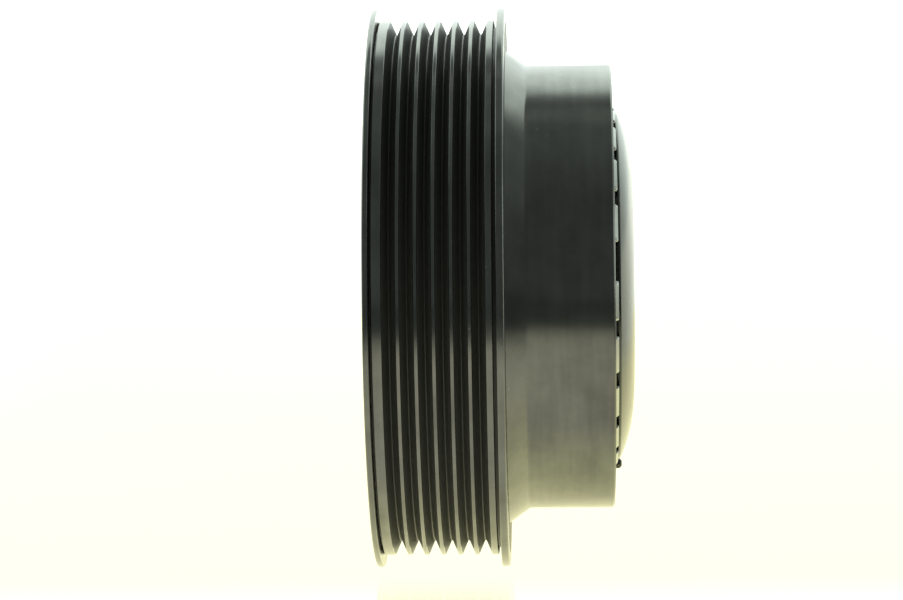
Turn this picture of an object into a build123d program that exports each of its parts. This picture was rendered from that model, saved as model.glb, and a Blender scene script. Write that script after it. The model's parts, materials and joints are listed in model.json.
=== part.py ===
from build123d import *
from math import asin, cos, degrees, pi, radians, sin, sqrt
import os

# Electromagnetic clutch for a belt-driven compressor.
# The clutch's axis is X. +X points out of the front, the dome side, and -X towards the compressor.
# The origin is on the axis, in the middle of the six belt grooves. Lengths are millimetres.
# An angle is measured in the YZ plane, from +Y towards +Z.

# belt band
groove_pitch = 3.56
groove_count = 6
ridge_radius = 56.75
groove_root_radius = 53.75
ridge_top_half_width = 0.335
groove_root_half_width = 0.35
ridge_round = 0.15
band_bore_radius = 48.9
band_back_x = -14.0
band_front_x = 14.06
flange_radius = 59.25
back_flange_front_x = -12.75
back_land_x = -12.3
front_land_x = 11.66
front_flange_back_x = 12.39
relief_radius = 55.2
flange_round = 0.5

# rotor drum
drum_radius = 47.0
drum_shoulder_radius = 50.1
drum_back_x = -3.2
cone_front_x = 18.36
rim_x = 36.2
rim_chamfer = 0.4
shroud_bore_radius = 45.6
drum_bore_radius = 43.2
friction_back_x = 24.5
friction_face_x = 29.0
sleeve_radius = 31.6
sleeve_back_x = -4.4
cone_round = 0.8
bearing_lip_radius = 24.5
bearing_lip_thickness = 2.0
circlip_groove_radius = 28.6
inner_slot_radius = 35.2
inner_slot_width = 2.2
outer_slot_radius = 40.4
outer_slot_width = 1.8
slots_per_ring = 6
rotor_slot_degrees = 44
lining_inner_radius = 36.9
lining_outer_radius = 39.0
lining_depth = 1.4

# double-row ball bearing, 35 x 55 x 20
bearing_bore_radius = 17.5
bearing_outer_radius = 27.5
bearing_back_x = -1.5
bearing_width = 20.0
bearing_front_x = bearing_back_x + bearing_width
inner_shoulder_radius = 20.4
outer_shoulder_radius = 24.6
ball_radius = 3.175
ball_pitch_radius = 22.5
groove_clearance = 0.075
balls_per_row = 18
row_offset = 4.7
row_x = [bearing_back_x + bearing_width / 2 + side * row_offset for side in (-1, 1)]
cage_inner_radius = 21.45
cage_outer_radius = 23.55
cage_half_length = 8.5
pocket_clearance = 0.12
seal_thickness = 1.0
seal_inset = 0.2
seal_inner_radius = 20.55
seal_outer_radius = 25.3
seal_seat_depth = 1.2

# snap rings
snap_ring_gap_degrees = 24
snap_ring_ear_radius = 1.7
snap_ring_ear_hole_radius = 0.8
nose_ring_x = 18.6
nose_ring_thickness = 1.3
nose_ring_radii = (16.6, 19.6)
circlip_x = -3.1
circlip_thickness = 1.45
circlip_groove_clearance = 0.05
circlip_radii = (25.6, 28.5)
coil_ring_x = -5.0
coil_ring_thickness = 1.5
coil_ring_radii = (21.6, 24.4)
coil_ring_ears_at = 23.5

# coil
plate_back_x = -7.0
plate_thickness = 2.0
plate_radius = 44.0
plate_seat_radius = 31.0
plate_seat_height = 1.0
plate_seat_round = 0.4
pilot_bore_radius = 22.5
housing_back_x = plate_back_x + plate_thickness
housing_front_x = 23.9
housing_inner_radius = 32.2
housing_outer_radius = 42.6
housing_wall = 2.0
housing_round = 0.8
bobbin_gap = 0.1
bobbin_wall = 0.8
bobbin_front_x = 20.0
bobbin_flange_radius = 40.3
winding_gap = 0.05
winding_outer_radius = 39.9
rivet_circle_radius = 37.4
plate_rivet_count = 4
plate_rivet_radius = 1.6
plate_rivet_head_radius = 3.0
plate_rivet_head_height = 1.0
pin_radius = 2.0
pin_shank_radius = 1.8
pin_circle_radius = 38.0
pin_back_x = -10.0
pin_chamfer = 0.4
fuse_radius = 1.1
fuse_length = 10.0
fuse_x = 21.9
fuse_chamfer = 0.28
terminal_centre_z = -41.1
terminal_size = (6.0, 14.0, 11.8)
terminal_cavity = (4.5, 11.0, 8.8)
terminal_round = 1.2
terminal_stem_radius = 2.5
terminal_stem_z = -38.5
stem_clearance = 0.05
blade_size = (3.9, 0.8, 4.8)
blade_spacing = 6.0

# hub
hub_back_x = 20.6
hub_front_x = 34.4
hub_radius = 8.0
hub_flange_radius = 17.0
hub_flange_thickness = 2.0
shaft_bore_radius = 6.0
shaft_bore_front_x = 32.8
stud_hole_radius = 3.2
keyway_width = 3.0
keyway_depth = 1.4
hub_chamfer = 0.6
hub_flange_round = 1.5
shim_thickness = 0.5
shim_radii = (6.0, 8.5)
shim_count = 2
cover_thickness = 1.6
cover_top_x = 40.5
cover_edge_radius = 37.0
cover_hem_round = 0.5
cover_flat_radius = 23.0
cover_shoulder_radius = 32.0
cover_floor_front_x = 34.0
recess_radius = 15.5
recess_outer_round = 2.0
recess_inner_round = 0.4
cover_rivet_circle_radius = 12.0
cover_rivet_count = 4
cover_rivet_radius = 1.5
cover_rivet_head_radius = 2.6
cover_rivet_head_height = 1.0
cover_rivet_head_round = 0.6
cover_rivet_tail_height = 0.8
damper_inner_radius = 28.0
damper_outer_radius = 34.9
damper_gap = 0.02
washer_radii = (3.2, 7.0)
washer_thickness = 0.6
nut_across_flats = 10.0
nut_height = 5.0
nut_bore_radius = 2.5
nut_chamfer = 0.5
nut_corner_cut = 0.1

# carrier
carrier_back_x = 34.0
carrier_thickness = 1.0
carrier_radii = (21.0, 40.0)
lip_radii = (37.3, 38.2)
lip_top_x = 36.0
lug_top_x = 36.95
lug_bend = 0.6
lug_round = 0.55
lug_pitch_degrees = 17.28
lug_degrees = 12.5
lugs_per_sector = 10
sector_count = 2
wide_gap_degrees = 165.5
balance_pin_radius = 1.1
balance_pin_circle_radius = 38.6
balance_pin_front_x = 38.0
balance_pin_chamfer = 0.5
balance_pin_degrees = 272.8

# armature and its springs
air_gap = 0.5
armature_back_x = friction_face_x + air_gap
armature_thickness = 4.0
armature_front_x = armature_back_x + armature_thickness
armature_radii = (28.0, 45.0)
armature_slot_radius = 37.8
armature_slot_width = 1.8
armature_slot_degrees = 42
spring_count = 3
spring_thickness = 0.5
spring_half_width = 2.7
spring_first_degrees = 53
spring_span_degrees = 50
spring_outer_circle_radius = 42.2
spring_inner_circle_radius = 25.0
spring_rivet_radius = 1.4
armature_head_radius = 1.9
armature_head_height = 0.9
armature_tail_radius = 2.4
armature_tail_height = 0.8
armature_tail_inset = 0.2
carrier_head_radius = 2.4
carrier_head_height = 0.8
carrier_tail_height = 0.6


def turned(outline, rounded=()):
    """A solid of revolution about X, from (x, radius) points and (x, radius, fillet) corners."""
    face = make_face(Polyline(*outline, close=True))
    for x, radius, fillet_radius in rounded:
        corner = face.vertices().sort_by_distance((x, radius))[0]
        face = fillet(corner, fillet_radius)
    return revolve(face, Axis.X)


def ring(back_x, front_x, inner_radius, outer_radius):
    """A plain ring, square in section."""
    inner = [(back_x, inner_radius), (front_x, inner_radius)]
    outer = [(front_x, outer_radius), (back_x, outer_radius)]
    return turned(inner + outer)


def rod(back_x, front_x, radius, circle_radius=0.0, angle=0.0):
    """A cylinder parallel to X, at a radius and an angle from the axis."""
    y = circle_radius * cos(radians(angle))
    z = circle_radius * sin(radians(angle))
    return extrude(Plane.YZ.offset(back_x) * Pos(y, z) * Circle(radius), front_x - back_x)


def angles(count, first=0.0):
    """Evenly spaced angles round the axis."""
    return [first + 360 * i / count for i in range(count)]


def banana_slots(back_x, front_x, radius, width, sweep, first):
    """Curved slots that run through a pole face."""
    slots = []
    for angle in angles(slots_per_ring, first):
        path = CenterArc((0, 0), radius, angle, sweep)
        slots.append(extrude(Plane.YZ.offset(back_x) * SlotArc(path, width), front_x - back_x))
    return slots


def snap_ring(back_x, thickness, radii, ears_at, gap_at):
    """A spring steel ring with a gap and two eared ends for pliers."""
    inner_radius, outer_radius = radii
    body = ring(back_x, back_x + thickness, inner_radius, outer_radius)
    reach = 2 * outer_radius
    half_gap = snap_ring_gap_degrees / 2
    corners = [(0, 0)]
    for angle in (gap_at - half_gap, gap_at + half_gap):
        corners.append((reach * cos(radians(angle)), reach * sin(radians(angle))))
    gap = extrude(Plane.YZ.offset(back_x - 1) * make_face(Polyline(*corners, close=True)), thickness + 2)
    body = body - gap
    ear_offset = degrees(snap_ring_ear_radius / ears_at)
    for side in (-1, 1):
        angle = gap_at + side * (half_gap + ear_offset)
        body = body + rod(back_x, back_x + thickness, snap_ring_ear_radius, ears_at, angle)
        body = body - rod(back_x - 1, back_x + thickness + 1, snap_ring_ear_hole_radius, ears_at, angle)
    return body


# ---- rotor ----


def belt_band():
    """The ring with six V grooves between two flanges."""
    outline = [(band_back_x, band_bore_radius), (band_back_x, flange_radius)]
    outline += [(back_flange_front_x, flange_radius), (back_flange_front_x, relief_radius)]
    outline += [(back_land_x, relief_radius), (back_land_x, ridge_radius)]
    groove_top_half_width = groove_pitch / 2 - ridge_top_half_width
    rounded = []
    for i in range(groove_count):
        middle = (i - (groove_count - 1) / 2) * groove_pitch
        for side in (-1, 1):
            top = (middle + side * groove_top_half_width, ridge_radius)
            root = (middle + side * groove_root_half_width, groove_root_radius)
            outline += [top, root] if side < 0 else [root, top]
            rounded += [(*top, ridge_round), (*root, ridge_round)]
    outline += [(front_land_x, ridge_radius), (front_land_x, relief_radius)]
    outline += [(front_flange_back_x, relief_radius), (front_flange_back_x, flange_radius)]
    outline += [(band_front_x, flange_radius), (band_front_x, band_bore_radius)]
    rounded += [(band_back_x, flange_radius, flange_round), (band_front_x, flange_radius, flange_round)]
    return turned(outline, rounded)


def rotor_drum():
    """The steel drum: bearing sleeve, pole face and outer wall in one piece."""
    outline = [
        (sleeve_back_x, bearing_outer_radius),
        (circlip_x - circlip_groove_clearance, bearing_outer_radius),
        (circlip_x - circlip_groove_clearance, circlip_groove_radius),
        (bearing_back_x, circlip_groove_radius),
        (bearing_back_x, bearing_outer_radius),
        (bearing_front_x, bearing_outer_radius),
        (bearing_front_x, bearing_lip_radius),
        (bearing_front_x + bearing_lip_thickness, bearing_lip_radius),
        (bearing_front_x + bearing_lip_thickness, bearing_outer_radius),
        (friction_face_x, bearing_outer_radius),
        (friction_face_x, lining_inner_radius),
        (friction_face_x - lining_depth, lining_inner_radius),
        (friction_face_x - lining_depth, lining_outer_radius),
        (friction_face_x, lining_outer_radius),
        (friction_face_x, shroud_bore_radius),
        (rim_x, shroud_bore_radius),
        (rim_x, drum_radius - rim_chamfer),
        (rim_x - rim_chamfer, drum_radius),
        (cone_front_x, drum_radius),
        (band_front_x, drum_shoulder_radius),
        (band_front_x, band_bore_radius),
        (drum_back_x, band_bore_radius),
        (drum_back_x, drum_bore_radius),
        (friction_back_x, drum_bore_radius),
        (friction_back_x, sleeve_radius),
        (sleeve_back_x, sleeve_radius),
    ]
    body = turned(outline, [(cone_front_x, drum_radius, cone_round)])
    stagger = 180 / slots_per_ring
    through = (friction_back_x - 1, friction_face_x + 1)
    body -= banana_slots(*through, inner_slot_radius, inner_slot_width, rotor_slot_degrees, 0)
    body -= banana_slots(*through, outer_slot_radius, outer_slot_width, rotor_slot_degrees, stagger)
    return body


def friction_lining():
    """The friction ring, flush with the pole face."""
    return ring(friction_face_x - lining_depth, friction_face_x, lining_inner_radius, lining_outer_radius)


def race_groove(x):
    """The torus that a row of balls needs."""
    section = Pos(x, ball_pitch_radius) * Circle(ball_radius + groove_clearance)
    return revolve(section, Axis.X)


def bearing_outer_ring():
    """The outer ring, with a seat for a seal at each end."""
    seal_seat_radius = seal_outer_radius
    outline = [
        (bearing_back_x, seal_seat_radius),
        (bearing_back_x + seal_seat_depth, seal_seat_radius),
        (bearing_back_x + seal_seat_depth, outer_shoulder_radius),
        (bearing_front_x - seal_seat_depth, outer_shoulder_radius),
        (bearing_front_x - seal_seat_depth, seal_seat_radius),
        (bearing_front_x, seal_seat_radius),
        (bearing_front_x, bearing_outer_radius),
        (bearing_back_x, bearing_outer_radius),
    ]
    body = turned(outline)
    for x in row_x:
        body -= race_groove(x)
    return body


def bearing_inner_ring():
    """The inner ring, which the compressor's nose fills."""
    body = ring(bearing_back_x, bearing_front_x, bearing_bore_radius, inner_shoulder_radius)
    for x in row_x:
        body -= race_groove(x)
    return body


def ball_places():
    """(x, angle) of every ball, the second row half a step round from the first."""
    step = 360 / balls_per_row
    places = []
    for row, x in enumerate(row_x):
        places += [(x, angle) for angle in angles(balls_per_row, row * step / 2)]
    return places


def bearing_balls():
    """Both rows of balls."""
    balls = []
    for x, angle in ball_places():
        y = ball_pitch_radius * cos(radians(angle))
        z = ball_pitch_radius * sin(radians(angle))
        balls.append(Pos(x, y, z) * Sphere(ball_radius))
    return Compound(children=balls)


def bearing_cage():
    """One moulded cage that spaces both rows."""
    middle = (bearing_back_x + bearing_front_x) / 2
    body = ring(middle - cage_half_length, middle + cage_half_length, cage_inner_radius, cage_outer_radius)
    pocket_radius = ball_radius + pocket_clearance
    pockets = []
    for x, angle in ball_places():
        upright = Pos(x, 0, ball_pitch_radius) * Cylinder(pocket_radius, 4 * ball_radius)
        pockets.append(Rot(angle - 90, 0, 0) * upright)
    return body - pockets


def bearing_seal(at_front):
    """A lip seal pressed into the outer ring."""
    back_x = bearing_front_x - seal_inset - seal_thickness if at_front else bearing_back_x + seal_inset
    return ring(back_x, back_x + seal_thickness, seal_inner_radius, seal_outer_radius)


def bearing_circlip():
    """The circlip that keeps the bearing in the rotor's sleeve."""
    ears_at = circlip_radii[0] - snap_ring_ear_radius / 2
    return snap_ring(circlip_x, circlip_thickness, circlip_radii, ears_at, 90)


# ---- coil and what is fixed with it ----


def mounting_plate():
    """The plate that holds the coil on the compressor, with a raised seat round its bore."""
    seat_back_x = plate_back_x - plate_seat_height
    outline = [
        (seat_back_x, pilot_bore_radius),
        (housing_back_x, pilot_bore_radius),
        (housing_back_x, plate_radius),
        (plate_back_x, plate_radius),
        (plate_back_x, plate_seat_radius),
        (seat_back_x, plate_seat_radius),
    ]
    body = turned(outline, [(seat_back_x, plate_seat_radius, plate_seat_round)])
    through_back = plate_back_x - 1
    through_front = housing_back_x + 1
    for angle in angles(plate_rivet_count, 45):
        body -= rod(through_back, through_front, plate_rivet_radius, rivet_circle_radius, angle)
    body -= rod(through_back, through_front, pin_shank_radius, pin_circle_radius, 0)
    body -= rod(through_back, through_front, terminal_stem_radius + stem_clearance, -terminal_stem_z, 270)
    return body


def coil_housing():
    """The steel channel round the coil, open towards the rotor's pole face."""
    outline = [
        (housing_back_x, housing_inner_radius),
        (housing_front_x, housing_inner_radius),
        (housing_front_x, housing_inner_radius + housing_wall),
        (housing_back_x + housing_wall, housing_inner_radius + housing_wall),
        (housing_back_x + housing_wall, housing_outer_radius - housing_wall),
        (housing_front_x, housing_outer_radius - housing_wall),
        (housing_front_x, housing_outer_radius),
        (housing_back_x, housing_outer_radius),
    ]
    radii = (housing_inner_radius, housing_outer_radius)
    rounded = [(housing_back_x, radius, housing_round) for radius in radii]
    body = turned(outline, rounded)
    through_back = housing_back_x - 1
    through_front = housing_back_x + housing_wall + 1
    for angle in angles(plate_rivet_count, 45):
        body -= rod(through_back, through_front, plate_rivet_radius, rivet_circle_radius, angle)
    body -= rod(through_back, through_front, terminal_stem_radius + stem_clearance, -terminal_stem_z, 270)
    return body


def coil_bobbin():
    """The plastic spool that the wire is wound on."""
    back_x = housing_back_x + housing_wall + bobbin_gap
    inner_radius = housing_inner_radius + housing_wall + bobbin_gap
    outline = [
        (back_x, inner_radius),
        (bobbin_front_x, inner_radius),
        (bobbin_front_x, bobbin_flange_radius),
        (bobbin_front_x - bobbin_wall, bobbin_flange_radius),
        (bobbin_front_x - bobbin_wall, inner_radius + bobbin_wall),
        (back_x + bobbin_wall, inner_radius + bobbin_wall),
        (back_x + bobbin_wall, bobbin_flange_radius),
        (back_x, bobbin_flange_radius),
    ]
    return turned(outline)


def coil_winding():
    """The copper winding, as one solid ring."""
    wall = bobbin_wall + winding_gap
    back_x = housing_back_x + housing_wall + bobbin_gap + wall
    inner_radius = housing_inner_radius + housing_wall + bobbin_gap + wall
    return ring(back_x, bobbin_front_x - wall, inner_radius, winding_outer_radius)


def thermal_fuse():
    """The fuse that lies across the winding's front."""
    lying = Pos(fuse_x, -rivet_circle_radius, 0) * Cylinder(fuse_radius, fuse_length)
    return chamfer(lying.edges().filter_by(GeomType.CIRCLE), fuse_chamfer)


def coil_potting():
    """The resin that closes the channel in front of the winding and holds the fuse."""
    gap = bobbin_gap / 2
    inner_radius = housing_inner_radius + housing_wall + gap
    outer_radius = housing_outer_radius - housing_wall - gap
    body = ring(bobbin_front_x + gap, housing_front_x, inner_radius, outer_radius)
    pocket = Pos(fuse_x, -rivet_circle_radius, 0) * Cylinder(fuse_radius, fuse_length)
    return body - pocket


def plate_rivets():
    """The rivets that join the plate and the coil's housing."""
    rivets = []
    head_back_x = plate_back_x - plate_rivet_head_height
    shank_front_x = housing_back_x + housing_wall
    for angle in angles(plate_rivet_count, 45):
        where = (rivet_circle_radius, angle)
        shank = rod(plate_back_x, shank_front_x, plate_rivet_radius, *where)
        head = rod(head_back_x, plate_back_x, plate_rivet_head_radius, *where)
        edge = head.faces().sort_by(Axis.X)[0].edges()
        rivets.append(shank + fillet(edge, plate_rivet_head_height / 2))
    return Compound(children=rivets)


def anti_rotation_pin():
    """The pin that stops the coil turning on the compressor, with a thinner shank in the plate."""
    tip = rod(pin_back_x, plate_back_x, pin_radius, pin_circle_radius, 0)
    shank = rod(plate_back_x, housing_back_x, pin_shank_radius, pin_circle_radius, 0)
    return chamfer(tip.faces().sort_by(Axis.X)[0].edges(), pin_chamfer) + shank


def terminal_block():
    """The two-way socket on the back of the plate."""
    length, width, height = terminal_size
    place = Pos(plate_back_x - length / 2, 0, terminal_centre_z)
    body = fillet((place * Box(length, width, height)).edges().filter_by(Axis.X), terminal_round)
    depth, cavity_width, cavity_height = terminal_cavity
    cavity_place = Pos(plate_back_x - length + depth / 2, 0, terminal_centre_z)
    cavity = cavity_place * Box(depth, cavity_width, cavity_height)
    body -= fillet(cavity.edges().filter_by(Axis.X), terminal_round / 2)
    stem_front_x = housing_back_x + housing_wall
    body += rod(plate_back_x - 1, stem_front_x, terminal_stem_radius, -terminal_stem_z, 270)
    return body


def terminal_blades():
    """The two contact blades in the socket."""
    length, thickness, height = blade_size
    cavity_floor_x = plate_back_x - terminal_size[0] + terminal_cavity[0]
    blades = []
    for side in (-1, 1):
        place = Pos(cavity_floor_x - length / 2, side * blade_spacing / 2, terminal_centre_z)
        blades.append(place * Box(length, thickness, height))
    return Compound(children=blades)


def coil_snap_ring():
    """The ring that keeps the coil's plate on the compressor's boss."""
    return snap_ring(coil_ring_x, coil_ring_thickness, coil_ring_radii, coil_ring_ears_at, 270)


def nose_snap_ring():
    """The ring that keeps the bearing on the compressor's nose."""
    return snap_ring(nose_ring_x, nose_ring_thickness, nose_ring_radii, nose_ring_radii[1], 90)


# ---- hub ----


def hub_boss():
    """The keyed boss that fits the compressor's shaft, with a flange for the cover."""
    flange_front_x = cover_floor_front_x - cover_thickness
    flange_back_x = flange_front_x - hub_flange_thickness
    outline = [
        (hub_back_x, shaft_bore_radius),
        (shaft_bore_front_x, shaft_bore_radius),
        (shaft_bore_front_x, stud_hole_radius),
        (hub_front_x, stud_hole_radius),
        (hub_front_x, hub_radius),
        (flange_front_x, hub_radius),
        (flange_front_x, hub_flange_radius),
        (flange_back_x, hub_flange_radius),
        (flange_back_x, hub_radius),
        (hub_back_x + hub_chamfer, hub_radius),
        (hub_back_x, hub_radius - hub_chamfer),
    ]
    body = turned(outline, [(flange_back_x, hub_radius, hub_flange_round)])
    keyway_length = shaft_bore_front_x - hub_back_x
    keyway_height = 2 * keyway_depth
    keyway = Box(keyway_length, keyway_width, keyway_height)
    body -= Pos(hub_back_x + keyway_length / 2, 0, shaft_bore_radius) * keyway
    for angle in angles(cover_rivet_count, 45):
        where = (cover_rivet_circle_radius, angle)
        body -= rod(flange_back_x - 1, flange_front_x + 1, cover_rivet_radius, *where)
    return body


def cover_arc(radius):
    """The end point of the cover's shoulder arc at its outer edge, and the arc's middle, for one skin."""
    centre_x = cover_top_x - cover_shoulder_radius
    end_angle = asin((cover_edge_radius - cover_flat_radius) / cover_shoulder_radius)
    points = []
    for angle in (end_angle, end_angle / 2):
        points.append((centre_x + radius * cos(angle), cover_flat_radius + radius * sin(angle)))
    return points


def hub_cover():
    """The domed cover, one pressed sheet with a recess for the nut."""
    inner_top_x = cover_top_x - cover_thickness
    floor_back_x = cover_floor_front_x - cover_thickness
    outer_end, outer_middle = cover_arc(cover_shoulder_radius)
    inner_end, inner_middle = cover_arc(cover_shoulder_radius - cover_thickness)
    wall_radius = recess_radius + cover_thickness
    flat_outer = (cover_top_x, cover_flat_radius)
    flat_inner = (inner_top_x, cover_flat_radius)
    sheet = [
        ThreePointArc(outer_end, outer_middle, flat_outer),
        Polyline(
            flat_outer,
            (cover_top_x, recess_radius),
            (cover_floor_front_x, recess_radius),
            (cover_floor_front_x, hub_radius),
            (floor_back_x, hub_radius),
            (floor_back_x, wall_radius),
            (inner_top_x, wall_radius),
            flat_inner,
        ),
        ThreePointArc(flat_inner, inner_middle, inner_end),
        Line(inner_end, outer_end),
    ]
    face = make_face(sheet)
    inner_bends = [(cover_top_x, recess_radius), (floor_back_x, wall_radius)]
    outer_bends = [(cover_floor_front_x, recess_radius), (inner_top_x, wall_radius)]
    for corner in inner_bends:
        face = fillet(face.vertices().sort_by_distance(corner)[0], recess_outer_round)
    for corner in outer_bends:
        face = fillet(face.vertices().sort_by_distance(corner)[0], recess_inner_round)
    face = fillet(face.vertices().sort_by_distance(outer_end)[0], cover_hem_round)
    body = revolve(face, Axis.X)
    for angle in angles(cover_rivet_count, 45):
        where = (cover_rivet_circle_radius, angle)
        body -= rod(floor_back_x - 1, cover_floor_front_x + 1, cover_rivet_radius, *where)
    return body


def hub_rivets():
    """The rivets that join the cover and the boss's flange."""
    floor_back_x = cover_floor_front_x - cover_thickness
    tail_front_x = floor_back_x - hub_flange_thickness
    head_front_x = cover_floor_front_x + cover_rivet_head_height
    tail_back_x = tail_front_x - cover_rivet_tail_height
    rivets = []
    for angle in angles(cover_rivet_count, 45):
        where = (cover_rivet_circle_radius, angle)
        head = rod(cover_floor_front_x, head_front_x, cover_rivet_head_radius, *where)
        edge = head.faces().sort_by(Axis.X)[-1].edges()
        head = fillet(edge, cover_rivet_head_round)
        shank = rod(tail_front_x, cover_floor_front_x, cover_rivet_radius, *where)
        tail = rod(tail_back_x, tail_front_x, cover_rivet_head_radius, *where)
        rivets.append(head + shank + tail)
    return Compound(children=rivets)


def rubber_damper():
    """The rubber ring between the cover and the carrier."""
    skin_radius = cover_shoulder_radius - cover_thickness
    centre_x = cover_top_x - cover_shoulder_radius
    corners = []
    middle_radius = (damper_inner_radius + damper_outer_radius) / 2
    for radius in (damper_inner_radius, middle_radius, damper_outer_radius):
        across = radius - cover_flat_radius
        corners.append((centre_x + sqrt(skin_radius**2 - across**2), radius))
    inner_end, middle, outer_end = corners
    back_x = carrier_back_x + carrier_thickness + damper_gap
    sides = Polyline(outer_end, (back_x, damper_outer_radius), (back_x, damper_inner_radius), inner_end)
    return revolve(make_face([ThreePointArc(inner_end, middle, outer_end), sides]), Axis.X)


def hub_washer():
    """The washer under the nut."""
    return ring(hub_front_x, hub_front_x + washer_thickness, *washer_radii)


def hub_nut():
    """The hexagon nut that holds the hub on the shaft."""
    back_x = hub_front_x + washer_thickness
    front_x = back_x + nut_height
    hexagon = RegularPolygon(nut_across_flats / 2, 6, major_radius=False)
    prism = extrude(Plane.YZ.offset(back_x) * hexagon, nut_height)
    corner_radius = nut_across_flats / 2 / cos(pi / 6)
    flat_radius = nut_across_flats / 2 - nut_corner_cut
    rim_radius = corner_radius + nut_corner_cut
    cut_depth = (rim_radius - flat_radius) * nut_chamfer
    envelope = [
        (back_x, nut_bore_radius + nut_chamfer),
        (back_x + nut_chamfer, nut_bore_radius),
        (front_x - nut_chamfer, nut_bore_radius),
        (front_x, nut_bore_radius + nut_chamfer),
        (front_x, flat_radius),
        (front_x - cut_depth, rim_radius),
        (back_x + cut_depth, rim_radius),
        (back_x, flat_radius),
    ]
    return prism & turned(envelope)


def air_gap_shims():
    """The shims behind the boss that set the air gap."""
    shims = []
    for i in range(shim_count):
        front_x = hub_back_x - i * shim_thickness
        shims.append(ring(front_x - shim_thickness, front_x, *shim_radii))
    return Compound(children=shims)


# ---- carrier ----


def lug_angles():
    """The middle of every lug: two sectors of ten, with a wide gap between sectors."""
    found = []
    for sector in range(sector_count):
        first = wide_gap_degrees + sector * 360 / sector_count + 180 / sector_count
        half = (lugs_per_sector - 1) / 2
        found += [first + (i - half) * lug_pitch_degrees for i in range(lugs_per_sector)]
    return found


def carrier_ring():
    """The ring that the rubber drives, with a lip of rounded lugs round its edge."""
    front_x = carrier_back_x + carrier_thickness
    body = ring(carrier_back_x, front_x, *carrier_radii)
    body += ring(front_x, lip_top_x, *lip_radii)
    lug_width = 2 * lip_radii[0] * sin(radians(lug_degrees / 2))
    lug_height = lug_top_x - front_x
    tongue = fillet(Rectangle(lug_width, 2 * lug_height).vertices(), lug_round)
    inner, outer = lip_radii
    lug_wall = turned(
        [
            (front_x, inner),
            (lug_top_x, inner),
            (lug_top_x, outer - lug_bend),
            (lug_top_x - lug_bend, outer),
            (front_x, outer),
        ]
    )
    lug_plane = Plane(origin=(front_x, 0, 0), x_dir=(0, 0, 1), z_dir=(0, 1, 0))
    for angle in lug_angles():
        block = extrude(lug_plane * tongue, lip_radii[1] + 1)
        body += Rot(angle, 0, 0) * (block & lug_wall)
    where = (balance_pin_circle_radius, balance_pin_degrees)
    body -= rod(carrier_back_x - 1, lug_top_x + 1, balance_pin_radius, *where)
    for angle in angles(spring_count, spring_first_degrees + spring_span_degrees):
        body -= rod(carrier_back_x - 1, front_x + 1, spring_rivet_radius, spring_inner_circle_radius, angle)
    return body


def balance_pin():
    """The pin pressed into the carrier's edge."""
    where = (balance_pin_circle_radius, balance_pin_degrees)
    body = rod(carrier_back_x, balance_pin_front_x, balance_pin_radius, *where)
    return chamfer(body.faces().sort_by(Axis.X)[-1].edges(), balance_pin_chamfer)


def carrier_rivets():
    """The rivets that hold the springs' inner ends on the carrier."""
    front_x = carrier_back_x + carrier_thickness
    spring_back_x = carrier_back_x - spring_thickness
    rivets = []
    for angle in angles(spring_count, spring_first_degrees + spring_span_degrees):
        where = (spring_inner_circle_radius, angle)
        head = rod(front_x, front_x + carrier_head_height, carrier_head_radius, *where)
        shank = rod(spring_back_x, front_x, spring_rivet_radius, *where)
        tail = rod(spring_back_x - carrier_tail_height, spring_back_x, carrier_head_radius, *where)
        rivets.append(head + shank + tail)
    return Compound(children=rivets)


def leaf_spring(index):
    """A flat spring from the armature's edge in to the carrier."""
    outer_angle = angles(spring_count, spring_first_degrees)[index]
    ends = []
    for radius, angle in (
        (spring_outer_circle_radius, outer_angle),
        (spring_inner_circle_radius, outer_angle + spring_span_degrees),
    ):
        ends.append((radius * cos(radians(angle)), radius * sin(radians(angle))))
    outer_end, inner_end = ends
    length = sqrt((outer_end[0] - inner_end[0]) ** 2 + (outer_end[1] - inner_end[1]) ** 2)
    middle = ((outer_end[0] + inner_end[0]) / 2, (outer_end[1] + inner_end[1]) / 2)
    slope = Vector(inner_end[0] - outer_end[0], inner_end[1] - outer_end[1])
    turn = slope.get_signed_angle(Vector(1, 0), Vector(0, 0, -1))
    strap = Pos(*middle) * Rot(0, 0, turn) * SlotCenterToCenter(length, 2 * spring_half_width)
    body = extrude(Plane.YZ.offset(armature_front_x) * strap, spring_thickness)
    for y, z in ends:
        hole = Plane.YZ.offset(armature_front_x - 1) * Pos(y, z) * Circle(spring_rivet_radius)
        body -= extrude(hole, spring_thickness + 2)
    return body


# ---- armature ----


def armature_plate():
    """The plate that the coil pulls against the pole face."""
    body = ring(armature_back_x, armature_front_x, *armature_radii)
    through = (armature_back_x - 1, armature_front_x + 1)
    body -= banana_slots(*through, armature_slot_radius, armature_slot_width, armature_slot_degrees, 10)
    tail_seat_x = armature_back_x + armature_tail_height + armature_tail_inset
    for angle in angles(spring_count, spring_first_degrees):
        where = (spring_outer_circle_radius, angle)
        body -= rod(*through, spring_rivet_radius, *where)
        body -= rod(armature_back_x - 1, tail_seat_x, armature_tail_radius, *where)
    return body


def armature_rivets():
    """The rivets that hold the springs' outer ends on the armature."""
    tail_back_x = armature_back_x + armature_tail_inset
    tail_front_x = tail_back_x + armature_tail_height
    head_back_x = armature_front_x + spring_thickness
    rivets = []
    for angle in angles(spring_count, spring_first_degrees):
        where = (spring_outer_circle_radius, angle)
        tail = rod(tail_back_x, tail_front_x, armature_tail_radius, *where)
        shank = rod(tail_front_x, head_back_x, spring_rivet_radius, *where)
        head = rod(head_back_x, head_back_x + armature_head_height, armature_head_radius, *where)
        edge = head.faces().sort_by(Axis.X)[-1].edges()
        rivets.append(tail + shank + fillet(edge, armature_head_height / 2))
    return Compound(children=rivets)


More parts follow.
